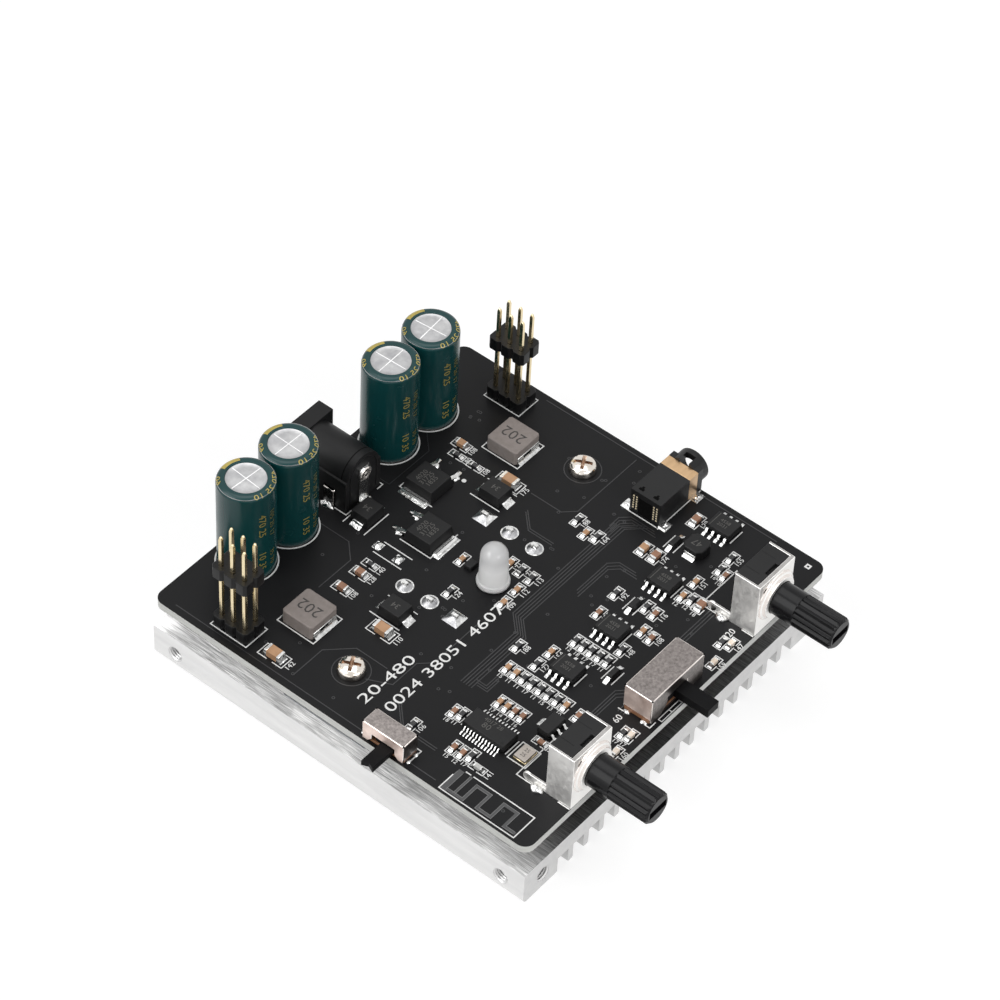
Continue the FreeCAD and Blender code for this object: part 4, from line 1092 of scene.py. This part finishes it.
class DRIVER_OT_audio_socket(bpy.types.Operator):
    """Audio socket with its shield, contacts and solder tabs"""
    bl_idname = "driver.audio_socket"
    bl_label = "Audio socket"

    def execute(self, context):
        bm = softened("audio_socket_body", 0.1, 2)
        low, high = in_mm(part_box("audio_socket_body"))
        # T-shaped slots in the top, then the opening in the inner side and the contacts that show in it;
        # slots and opening are dark sheets of painted shade
        for y in (low.y + 1.75, high.y - 1.5):
            for near, far, half in ((0.7, 1.25, 0.5), (1.25, 1.7, 0.22)):
                block(bm, (low.x + near, y - half, AUDIO_TOP - 0.02),
                      (low.x + far, y + half, AUDIO_TOP + 0.015), 1)
        block(bm, (low.x - 0.03, low.y + 1.75, TOP + 0.1),
              (low.x + 0.05, high.y - 1.75, AUDIO_TOP - 1.2), 1)
        for y in (low.y + 0.7, low.y + 1.35, high.y - 1.35, high.y - 0.7):
            for step in range(6):
                z = TOP + 0.8 + step * 0.56
                block(bm, (low.x - 0.1, y - 0.13, z), (low.x + 0.02, y + 0.13, z + 0.26), 2)
        put("moulded_audio_socket", bm, ["black_satin", "painted_hollow_shade", "contact_gold"],
            instead=("audio_socket_body",))
        redone("audio_shield", "audio_socket_shield", "shield_brass", 0.08, 2)
        dress("audio_socket_contacts", "tinned_lead")
        bm = bmesh.new()
        for number, (low, high) in enumerate(solids("audio_socket_contacts")):
            if high.z < TOP + 0.5:
                middle = (low + high) / 2
                blob(bm, middle.x, middle.y, 0.9, 0.42, seed=number, stretch=(1, 0.9))
                block(bm, (low.x - 0.35, low.y - 0.2, TOP), (high.x + 0.35, high.y + 0.2, TOP + 0.04))
        put("audio_solder", bm, ["bright_solder"])
        return {"FINISHED"}


class DRIVER_OT_rotary_controls(bpy.types.Operator):
    """Rotary controls: plated brackets, moulded bodies, splined shafts and solder"""
    bl_idname = "driver.rotary_controls"
    bl_label = "Rotary controls"

    def execute(self, context):
        for number, side in enumerate(("left", "right")):
            low, high = in_mm(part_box(f"{side}_pot_bracket"))
            x, front, pin = (low.x + high.x) / 2, low.y + 1.0, TOP + 9.9
            bm = softened(f"{side}_pot_bracket", 0.1, 2)
            # the flare round the bushing, the hole for a locating pin and the curled feet
            spun(bm, [(3.75, -0.1), (4.75, 0.0), (4.7, 0.14), (4.5, 0.34), (4.15, 0.46), (3.95, 0.8),
                      (3.75, 0.9), (3.75, -0.1)], lying(x, front, AXIS), steps=64)
            # the locating hole: a dark disc of painted shade inside a bright ring of painted highlight
            for radius, depth, mat in ((0.72, 0.03, 2), (0.55, 0.05, 1)):
                rod(bm, (x - 3.1, front + 0.02, pin), (x - 3.1, front - depth, pin), radius, mat, 24)
            # rounded edges in the bright plating: painted highlights; upward faces in a darker plate: the
            # dull sheared edges, partly painted shade
            edges_lit(bm, 2, 0.9)
            facing(bm, UP, 3, 0.99)
            for sign in (-1, 1):
                side_x, y, z = x + sign * 4.575, high.y - 0.2, TOP + 0.95
                rod(bm, (side_x - 0.225, y, z), (side_x + 0.225, y, z), 0.95, sides=28, edge=0.08)
            put(f"{side}_control_bracket", bm,
                ["plated_bracket", "painted_hollow_shade", "plating_and_edge_highlight", "sheared_plate_and_painted_shade"],
                instead=(f"{side}_pot_bracket",))
            bm = softened(f"{side}_pot_body", 0.1, 2)
            for offset in (-2.2, 2.2):
                line(bm, (x + offset, front + 2.2), (x + offset, front + 4.9), 0.12, 1, high.z - 0.02,
                     0.035)
            put(f"{side}_control_body", bm, ["black_satin", "black_moulding"],
                instead=(f"{side}_pot_body",))
            redone(f"{side}_control_shaft", f"{side}_pot_shaft", "shaft_moulding", 0.05, 1,
                   f"{side}_shaft", 20)
            dress(f"{side}_pot_leads", "tinned_plate")
            bm = bmesh.new()
            for sign in (-1, 1):
                blob(bm, x + sign * 5.3, -33.4, 1.25, 1.0, seed=number * 5 + sign, stretch=(0.72, 1.0))
                blob(bm, x + sign * 4.3, -34.6, 0.45, 1.2, seed=number * 3 + sign, stretch=(0.7, 0.8))
            for offset in (-2.5, 0, 2.5):
                blob(bm, x + offset, -34.4, 0.75, 0.5, seed=number * 7 + int(offset), stretch=(1, 0.8))
            put(f"{side}_control_solder", bm, ["bright_solder"])
        return {"FINISHED"}


class DRIVER_OT_slide_switches(bpy.types.Operator):
    """Slide switches: plated shells, brown bases and black sliders"""
    bl_idname = "driver.slide_switches"
    bl_label = "Slide switches"

    def execute(self, context):
        for name in ("power", "mode"):
            bm = softened(f"{name}_switch_shell", 0.16, 2)
            low, high = in_mm(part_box(f"{name}_switch_shell"))
            # end faces towards -X in a bright warm material: painted reflection
            facing(bm, Vector((-1, 0, 0)), 1)
            # rounded edges in the bright plating: painted highlights
            edges_lit(bm, 2)
            # corner reliefs of the folded top, dark discs of painted shade
            for x in (low.x + 0.12, high.x - 0.12):
                for y in (low.y + 0.1, high.y - 0.1):
                    rod(bm, (x, y, high.z - 0.1), (x, y, high.z + 0.01), 0.17, 3, 12)
            top = "brushed_nickel" if name == "power" else "fine_nickel"
            put(f"{name}_shell", bm, [top, "end_face_painted_reflection", "plating_and_edge_highlight", "painted_hollow_shade"],
                instead=(f"{name}_switch_shell",))
            bm = softened(f"{name}_switch_base", 0.05, 1)
            # faces towards -Y in a darker phenolic: painted shade
            facing(bm, Vector((0, -1, 0)), 1)
            put(f"{name}_base", bm, ["brown_laminate", "phenolic_painted_shade"], instead=(f"{name}_switch_base",))
            redone(f"{name}_lever", f"{name}_switch_slider", "lever_moulding", 0.12, 2,
                   f"{name}_slider")
            dress(f"{name}_switch_leads", "tinned_plate")
        bm = bmesh.new()
        low, high = in_mm(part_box("power_switch_shell"))
        for x in (low.x, high.x):
            for y in (low.y + 1.2, high.y - 1.2):
                blob(bm, x + math.copysign(0.3, x), y, 0.7, 0.35, seed=int(x + y), stretch=(0.8, 1.0))
        low, high = in_mm(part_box("mode_switch_shell"))
        for y in (low.y - 0.3, high.y + 0.3):
            for x in (low.x + 1.0, high.x - 0.8):
                blob(bm, x, y, 0.55, 0.3, seed=int(x * y), stretch=(1.0, 0.8))
        put("switch_solder", bm, ["bright_solder"])
        return {"FINISHED"}


class DRIVER_OT_status_light(bpy.types.Operator):
    """Milky status light"""
    bl_idname = "driver.status_light"
    bl_label = "Status light"

    def execute(self, context):
        low, high = in_mm(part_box("status_light_lens"))
        foot = Vector((0, 0, low.z))
        height = high.z - low.z
        radius, foot_radius, flange = 2.4, 2.54, 2.9
        outline = [(0, 0), (flange - 0.08, 0), (flange, 0.08), (flange, 0.5), (flange - 0.12, 0.56),
                   (flange - 0.12, 0.92), (flange - 0.2, 1.0), (foot_radius + 0.03, 1.02),
                   (foot_radius, 1.06), (foot_radius, 1.1),
                   *arc(0, height - radius, radius, range(90, 0, -9)), (0, height)]
        bm = bmesh.new()
        spun(bm, outline, foot, steps=56)
        put("milky_light", bm, [milky()], instead=("status_light_lens",), smooth=60)
        bm = bmesh.new()
        for x in (-1.27, 1.27):
            blob(bm, x, 0, 0.7, 0.25, seed=int(x * 9))
        put("status_light_solder", bm, ["bright_solder"])
        dress("through_hole_leads", "tinned_lead")
        return {"FINISHED"}


class DRIVER_OT_pin_headers(bpy.types.Operator):
    """Tall pin headers: moulded blocks and plated pins"""
    bl_idname = "driver.pin_headers"
    bl_label = "Pin headers"

    def execute(self, context):
        for side in ("left", "right"):
            for part in ("base", "spacer"):
                redone(f"{side}_moulded_{part}", f"{side}_header_{part}", "black_matte",
                       0.08, 1)
            redone(f"{side}_gold_pins", f"{side}_header_pins", "gold_plating", 0.05, 1)
        return {"FINISHED"}


class DRIVER_OT_inductors(bpy.types.Operator):
    """Pressed powder inductors with solder at their ends"""
    bl_idname = "driver.inductors"
    bl_label = "Inductors"

    def execute(self, context):
        bm = softened("inductor_cores", 0.08, 2)
        cores = solids("inductor_cores")
        small = [(low, high) for low, high in cores if high.z - TOP < LARGE_INDUCTOR]
        for face in bm.faces:
            spot = face.calc_center_median()
            if any(low.x - 0.1 < spot.x < high.x + 0.1 and low.y - 0.1 < spot.y < high.y + 0.1
                   for low, high in small):
                face.material_index = 2
        for low, high in cores:
            middle = (low + high) / 2
            if high.z - TOP > LARGE_INDUCTOR:
                write(bm, "202", 2.2, flat(middle.x + 0.1, middle.y, 90, high.z), 1, MARK)
            else:
                write(bm, "47", 1.3, flat(middle.x, middle.y, 90, high.z), 3, MARK)
        put("powder_cores", bm, ["pressed_powder", "dark_marking", "chip_epoxy", "laser_marking"],
            instead=("inductor_cores",))
        bm = bmesh.new()
        for low, high in solids("inductor_end_plates"):
            end_plate(bm, low, high, cores)
        put("inductor_solder", bm, ["tinned_lead", "bright_solder", "painted_hollow_shade"],
            instead=("inductor_end_plates",))
        return {"FINISHED"}


def end_plate(bm, low, high, cores):
    """End plate of an inductor, with the slot in its outer face as a dark box of painted shade, and a wedge
    of solder at its foot.
    """
    middle = (low + high) / 2
    core = min(cores, key=lambda box: ((box[0] + box[1]) / 2 - middle).length)
    out = middle - (core[0] + core[1]) / 2
    block(bm, low, high, edge=0.08)
    reach = 0.02
    if abs(out.x) > abs(out.y):
        width = high.y - low.y
        slot_low = Vector((low.x - reach, middle.y - width * 0.22, low.z + 0.7))
        slot_high = Vector((high.x + reach, middle.y + width * 0.12, high.z - 0.25))
        x, y, heading = high.x if out.x > 0 else low.x, middle.y, 0 if out.x > 0 else math.pi
    else:
        width = high.x - low.x
        slot_low = Vector((middle.x - width * 0.22, low.y - reach, low.z + 0.7))
        slot_high = Vector((middle.x + width * 0.12, high.y + reach, high.z - 0.25))
        x, y, heading = middle.x, high.y if out.y > 0 else low.y, math.copysign(QUARTER, out.y)
    # the slot is a dark box: painted shade
    if high.z - slot_low.z > 0.5:
        block(bm, slot_low, slot_high, 2)
    tall = high.z - TOP
    wedge = [(-0.02, 0), (-0.02, tall * 0.4), (0.1, tall * 0.22), (0.3, 0.12), (0.6, 0)]
    swept(bm, wedge, width * 0.94, Matrix.Translation((x, y, TOP)) @ Matrix.Rotation(heading, 4, "Z"), 1)


class DRIVER_OT_power_semiconductors(bpy.types.Operator):
    """Driver transistors and diodes with their metal and solder"""
    bl_idname = "driver.power_semiconductors"
    bl_label = "Driver transistors and diodes"

    def execute(self, context):
        bm = softened("driver_transistor_cases", 0.12, 2)
        for low, high in solids("driver_transistor_cases"):
            middle = (low + high) / 2
            for row, text in ((1.5, "4020"), (0, "31725"), (-1.5, "1835")):
                write(bm, text, 0.95, flat(middle.x - 0.4, middle.y + row * 0.75, 0, high.z), 1, MARK)
        put("driver_cases", bm, ["chip_epoxy", "laser_marking"], instead=("driver_transistor_cases",))
        leads = solids("driver_transistor_leads")
        tabs = [box for box in leads if max(box[1].x - box[0].x, box[1].y - box[0].y) > 4.5]
        bm = softened("driver_transistor_leads", 0.06, 1)
        for low, high in tabs:
            middle = (low + high) / 2
            if high.x - low.x > high.y - low.y:
                start, end = (low.x + 0.3, middle.y), (high.x - 0.3, middle.y)
            else:
                start, end = (middle.x, low.y + 0.3), (middle.x, high.y - 0.3)
            # dark line along the tab: painted shade of its groove
            line(bm, start, end, 0.16, 1, high.z - 0.02, 0.03)
        put("driver_tabs", bm, ["tinned_plate", "plate_painted_shade"], instead=("driver_transistor_leads",))
        bm = bmesh.new()
        for number, (low, high) in enumerate(leads):
            middle = (low + high) / 2
            if (low, high) in tabs:
                block(bm, (low.x - 0.35, low.y - 0.35, TOP), (high.x + 0.35, high.y + 0.35, TOP + 0.12),
                      edge=0.05)
            else:
                blob(bm, middle.x, middle.y, 0.85, 0.42, seed=number)
        put("driver_solder", bm, ["bright_solder"])
        bm = softened("diode_cases", 0.1, 2)
        for low, high in solids("diode_cases"):
            middle = (low + high) / 2
            if high.z - TOP > LARGE_DIODE:
                write(bm, "34", 1.1, flat(middle.x, middle.y, 90, high.z), 1, MARK)
        put("diode_bodies", bm, ["chip_epoxy", "laser_marking"], instead=("diode_cases",))
        return {"FINISHED"}


class DRIVER_OT_chip_packages(bpy.types.Operator):
    """Moulded packages with bent leads, and the crystal"""
    bl_idname = "driver.chip_packages"
    bl_label = "Chips and crystal"

    def execute(self, context):
        cases = solids("chip_packages") + solids("diode_cases")
        bm = bmesh.new()
        for low, high in solids("chip_packages"):
            # two halves, each with slanted sides, that meet at the waist
            waist = low.z + (high.z - low.z) * 0.45
            block(bm, (low.x, low.y, waist), high, edge=0.05, taper=0.1)
            middle, half = (low + high) / 2, (high - low) / 2
            centre = Matrix.Translation((middle.x, middle.y, (low.z + waist) / 2))
            half.z = (waist - low.z) / 2
            block(bm, -half, half, taper=0.1, place=centre @ Matrix.Rotation(math.pi, 4, "X"))
            tall = high.y - low.y
            if tall > 8:
                write(bm, "4017 28", 0.8, flat(middle.x + 0.9, middle.y, -90, high.z), 1, MARK)
                write(bm, "80", 1.15, flat(middle.x - 0.3, middle.y + 0.6, -90, high.z), 1, MARK)
                x, y = low.x + 0.65, low.y + 0.8
                rod(bm, (x, y, high.z - 0.03), (x, y, high.z + 0.01), 0.28, 2, 20)
            elif tall > 4:
                write(bm, "4558", 0.7, flat(middle.x + 0.45, middle.y, -90, high.z), 1, MARK)
                write(bm, "2031", 0.7, flat(middle.x - 0.55, middle.y, -90, high.z), 1, MARK)
                y = high.y - 0.62
                line(bm, (low.x + 0.35, y), (high.x - 0.35, y), 0.1, 1, high.z, MARK)
        put("moulded_packages", bm, ["chip_epoxy", "laser_marking", "black_moulding"],
            instead=("chip_packages",))

        bm = bmesh.new()
        for low, high in solids("package_leads"):
            lead(bm, low, high, cases)
        put("soldered_leads", bm, ["tinned_lead", "bright_solder"], instead=("package_leads",))

        low, high = in_mm(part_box("crystal_can"))
        middle, rim = (low + high) / 2, TOP + 0.35
        bm = bmesh.new()
        block(bm, (low.x, low.y, TOP), (high.x, high.y, rim), 1, 0.05)
        block(bm, (low.x + 0.06, low.y + 0.06, rim), (high.x - 0.06, high.y - 0.06, high.z), 0, 0.08, 2)
        for offset in (-0.55, 0.55):
            write(bm, "25", 0.7, flat(middle.x + offset, middle.y, -90, high.z), 2, MARK)
        put("crystal", bm, ["crystal_lid", "gold_plating", "dark_marking"], instead=("crystal_can",))
        return {"FINISHED"}


def lead(bm, low, high, cases):
    """Bent lead from its package to its solder, or a flat tab where the node has one."""
    middle = (low + high) / 2

    def over(case):
        """How far the lead's middle lies outside a case, along X and along Y."""
        return [max(case[0][axis] - middle[axis], middle[axis] - case[1][axis], 0) for axis in (0, 1)]

    case = min(cases, key=lambda case: sum(reach ** 2 for reach in over(case)))
    over_x, over_y = over(case)
    if over_x > over_y:
        heading = 0 if middle.x > case[1].x else 180
        place = flat(case[1].x if heading == 0 else case[0].x, middle.y, heading, TOP)
        reach, width = high.x - low.x, high.y - low.y
    else:
        heading = 90 if middle.y > case[1].y else -90
        place = flat(middle.x, case[1].y if heading == 90 else case[0].y, heading, TOP)
        reach, width = high.y - low.y, high.x - low.x
    tall = high.z - TOP
    slim = width < 0.35
    if tall > 0.5:
        width = 0.2 if slim else width
        outline = [(-0.1, tall), (0.16, tall), (0.3, tall - 0.08), (0.46, 0.3), (0.6, 0.2), (reach, 0.2),
                   (reach, 0.04), (0.52, 0.04), (0.36, 0.16), (0.2, tall - 0.24), (-0.1, tall - 0.2)]
        swept(bm, outline, width, place)
        fillet = [(reach - 0.55, 0), (reach - 0.55, 0.22), (reach - 0.1, 0.26), (reach + 0.12, 0.2),
                  (reach + 0.4, 0.02), (reach + 0.4, 0)]
        swept(bm, fillet, width + (0.04 if slim else 0.12), place, 1)
    else:
        fillet = [(-0.05, 0), (-0.05, 0.62), (0.16, 0.6), (0.3, 0.3), (reach, 0.24), (reach + 0.3, 0.1),
                  (reach + 0.55, 0.02), (reach + 0.55, 0)]
        swept(bm, fillet, width, place, 1, 0.03)


class DRIVER_OT_chip_parts(bpy.types.Operator):
    """Chip capacitors, resistors and indicator lights with plated ends and solder"""
    bl_idname = "driver.chip_parts"
    bl_label = "Chip parts"

    def execute(self, context):
        rng = random.Random(5)
        groups = (
            ("chip_capacitors", "ceramic_capacitors", "tan_ceramic", "brown_ceramic", "ceramic_tan"),
            ("glazed_resistors", "chip_resistors", "resistor_glaze", "resistor_glaze", "resistor_black"),
            ("indicator_chips", "indicator_lights", "lit_chip", "alumina", "indicator_lens"),
        )
        for name, source, first, second, slot in groups:
            bm = bmesh.new()
            for number, (low, high) in enumerate(solids(source)):
                big = high.z - TOP > 1.2
                tone = 0 if big or rng.random() < 0.6 else 1
                chip_part(bm, low, high, tone, source == "chip_resistors", number)
            put(name, bm, [first, second, "tinned_lead", "bright_solder", "laser_marking"],
                instead=(source,))
        return {"FINISHED"}


def chip_part(bm, low, high, tone, resistor, number):
    """Body, plated ends, solder at the ends and the pads below."""
    along_y = high.y - low.y > high.x - low.x
    long = max(high.x - low.x, high.y - low.y) / 2
    wide = min(high.x - low.x, high.y - low.y) / 2
    tall = high.z - TOP
    place = flat((low.x + high.x) / 2, (low.y + high.y) / 2, 90 if along_y else 0, TOP)
    cap = long * 0.34
    block(bm, (-long + cap, -wide, 0.02), (long - cap, wide, tall - 0.02), tone, place=place)
    for sign in (-1, 1):
        inner, outer = sorted((sign * (long - cap), sign * long))
        block(bm, (inner, -wide, 0.0), (outer, wide, tall), 2, edge=0.04, place=place)
        fillet = [(0, 0), (0, tall * 0.72), (0.1, tall * 0.38), (0.28, 0.1), (0.5, 0.03), (0.5, 0.0)]
        swept(bm, fillet, wide * 2.0, place @ Matrix.Rotation(0 if sign > 0 else math.pi, 4, "Z")
              @ Matrix.Translation((long, 0, 0)), 3)
    if resistor:
        write(bm, str(100 + 7 * number % 90), 0.42, place @ flat(0, 0, 0, tall - MARK), 4, MARK)


class DRIVER_OT_loose_pads(bpy.types.Operator):
    """Tinned pads that carry no part"""
    bl_idname = "driver.loose_pads"
    bl_label = "Empty pads"

    def execute(self, context):
        bm = bmesh.new()
        width = context.scene.board_looks.line / METRE
        for number, (x, y) in enumerate(((-6.5, 19.6), (-6.6, 15.1))):
            block(bm, (x - 0.9, y - 0.8, TOP), (x + 0.9, y + 0.8, TOP + 0.05))
            blob(bm, x, y, 1.0, 0.4, seed=40 + number, stretch=(0.95, 0.8))
        put("empty_pads", bm, ["bright_solder"])
        bm = bmesh.new()
        for x in (-8.0, -5.1):
            line(bm, (x, 13.4), (x, 19.4), width)
        put("empty_pad_print", bm, [ink()])
        return {"FINISHED"}


# ---------------------------------------------------------------- stage

class DRIVER_OT_stage(bpy.types.Operator):
    """Pale floor, soft lamps and camera"""
    bl_idname = "driver.stage"
    bl_label = "Stage"

    def execute(self, context):
        looks = context.scene.stage_looks
        bm = bmesh.new()
        bmesh.ops.create_grid(bm, x_segments=1, y_segments=1, size=4.0)
        mesh = bpy.data.meshes.new("floor")
        bm.to_mesh(mesh)
        bm.free()
        mesh.materials.append(floor_paint(looks.floor))
        floor = bpy.data.objects.new("floor", mesh)
        context.scene.collection.objects.link(floor)

        world = bpy.data.worlds.new("studio")
        world.use_nodes = True
        context.scene.world = world
        air = world.node_tree.nodes["Background"]
        air.inputs["Color"].default_value = (1.0, 1.0, 1.0, 1)
        level = seen_by_eye(world.node_tree, plain=0.30, bright=1.0, shown=1.0)
        world.node_tree.links.new(level, air.inputs["Strength"])
        context.scene.view_settings.view_transform = "Standard"

        for name, place, size, power, diffuse in LAMPS:
            lamp(name, place, size, power * looks.lamps, diffuse)
        camera(context.scene, looks.lens)
        return {"FINISHED"}


LAMPS = (
    # name, place and size in metres, watts, whether it gives diffuse light or shows in metal and gloss only
    ("left_softbox", (-0.80, 0.44, 0.72), (0.8, 0.8), 5.0, True),
    ("left_gleam", (-0.80, 0.44, 0.72), (0.8, 0.8), 11.5, False),
    ("top_softbox", (0.10, 0.20, 1.25), (0.9, 0.9), 5.0, True),
    ("low_left_softbox", (-0.95, -0.05, 0.16), (0.8, 0.25), 0.5, True),
    ("front_softbox", (-0.20, -0.85, 0.55), (0.6, 0.4), 4.0, True),
)


def seen_by_eye(tree, plain, bright, shown):
    """Level that is bright for the camera, as given for what metal and glass show, and plain as light."""
    ray = node(tree, "ShaderNodeLightPath")
    mirrored = node(tree, "ShaderNodeMath", operation="MAXIMUM")
    tree.links.new(ray.outputs["Is Glossy Ray"], mirrored.inputs[0])
    tree.links.new(ray.outputs["Is Transmission Ray"], mirrored.inputs[1])
    last = None
    for source, level in ((ray.outputs["Is Camera Ray"], bright), (mirrored.outputs[0], shown)):
        part = node(tree, "ShaderNodeMath", operation="MULTIPLY_ADD")
        tree.links.new(source, part.inputs[0])
        part.inputs[1].default_value = level - plain
        if last:
            tree.links.new(last, part.inputs[2])
        else:
            part.inputs[2].default_value = plain
        last = part.outputs[0]
    return last


def floor_paint(colour):
    """Pale floor that reads as white to the camera and keeps the shadow."""
    made = bpy.data.materials.new("floor_paint")
    made.use_nodes = True
    tree = made.node_tree
    shader = tree.nodes["Principled BSDF"]
    shader.inputs["Roughness"].default_value = 0.9
    shader.inputs["Specular IOR Level"].default_value = 0.0
    shader.inputs["Base Color"].default_value = (*colour, 1)
    shader.inputs["Emission Color"].default_value = (1, 1, 1, 1)
    level = seen_by_eye(tree, plain=0.0, bright=0.72, shown=0.66)
    tree.links.new(level, shader.inputs["Emission Strength"])
    return made


def lamp(name, place, size, power, diffuse):
    """Softbox aimed at the middle of the unit, 10 mm above its foot."""
    data = bpy.data.lights.new(name, "AREA")
    data.shape = "RECTANGLE"
    data.size, data.size_y = size
    data.energy = power
    made = bpy.data.objects.new(name, data)
    made.location = place
    made.rotation_euler = (Vector((0.0, 0.0, 0.01)) - Vector(place)).to_track_quat("-Z", "Y").to_euler()
    made.visible_diffuse = diffuse
    bpy.context.scene.collection.objects.link(made)


def camera(scene, lens):
    """Camera that looks down on the unit from its front left corner.

    azimuth, height and roll turn it, distance is from the point that it is aimed at, and the shifts are
    how far the middle of the board's top lies from that point, across and up."""
    azimuth, height, roll = math.radians(-52.907), math.radians(47.036), math.radians(3.339)
    distance, shift_x, shift_y = 667.505, -1.175, -13.729
    right = Vector((math.cos(azimuth), math.sin(azimuth), 0))
    back = Vector((math.sin(azimuth) * math.cos(height), -math.cos(azimuth) * math.cos(height),
                   math.sin(height)))
    up = back.cross(right)
    across = right * math.cos(roll) + up * math.sin(roll)
    upward = up * math.cos(roll) - right * math.sin(roll)
    data = bpy.data.cameras.new("camera")
    data.lens = lens
    data.sensor_width = 36.0
    data.clip_start, data.clip_end = 0.01, 20.0
    made = bpy.data.objects.new("camera", data)
    turn = Matrix((across, upward, back)).transposed().to_4x4()
    spot = across * -shift_x - upward * shift_y + back * distance + Vector((0, 0, TOP))
    made.matrix_world = Matrix.Translation(spot * METRE) @ turn
    scene.collection.objects.link(made)
    scene.camera = made


class DRIVER_PT_panel(bpy.types.Panel):
    """Lists the operators of the driver unit"""
    bl_idname = "DRIVER_PT_panel"
    bl_label = "Driver unit"
    bl_space_type = "VIEW_3D"
    bl_region_type = "UI"
    bl_category = "Driver unit"

    def draw(self, context):
        for group in ("board_looks", "capacitor_looks", "stage_looks"):
            held = getattr(context.scene, group)
            for key in held.__annotations__:
                self.layout.prop(held, key)
        for piece in PIECES:
            self.layout.operator(piece.bl_idname)


LOOKS = (("board_looks", BoardLooks), ("capacitor_looks", CapacitorLooks), ("stage_looks", StageLooks))
PIECES = (
    DRIVER_OT_board, DRIVER_OT_heatsink, DRIVER_OT_output_transistors, DRIVER_OT_capacitors,
    DRIVER_OT_power_socket, DRIVER_OT_audio_socket, DRIVER_OT_rotary_controls, DRIVER_OT_slide_switches,
    DRIVER_OT_status_light, DRIVER_OT_pin_headers, DRIVER_OT_inductors, DRIVER_OT_power_semiconductors,
    DRIVER_OT_chip_packages, DRIVER_OT_chip_parts, DRIVER_OT_loose_pads, DRIVER_OT_stage,
)


def register():
    for name, group in LOOKS:
        bpy.utils.register_class(group)
        setattr(bpy.types.Scene, name, bpy.props.PointerProperty(type=group))
    for piece in PIECES + (DRIVER_PT_panel,):
        bpy.utils.register_class(piece)


def unregister():
    for piece in (DRIVER_PT_panel,) + PIECES[::-1]:
        bpy.utils.unregister_class(piece)
    for name, group in LOOKS:
        delattr(bpy.types.Scene, name)
        bpy.utils.unregister_class(group)


def main():
    """Builds every piece and the stage."""
    register()
    for piece in PIECES:
        family, name = piece.bl_idname.split(".")
        getattr(getattr(bpy.ops, family), name)()


if __name__ == "__main__":
    main()
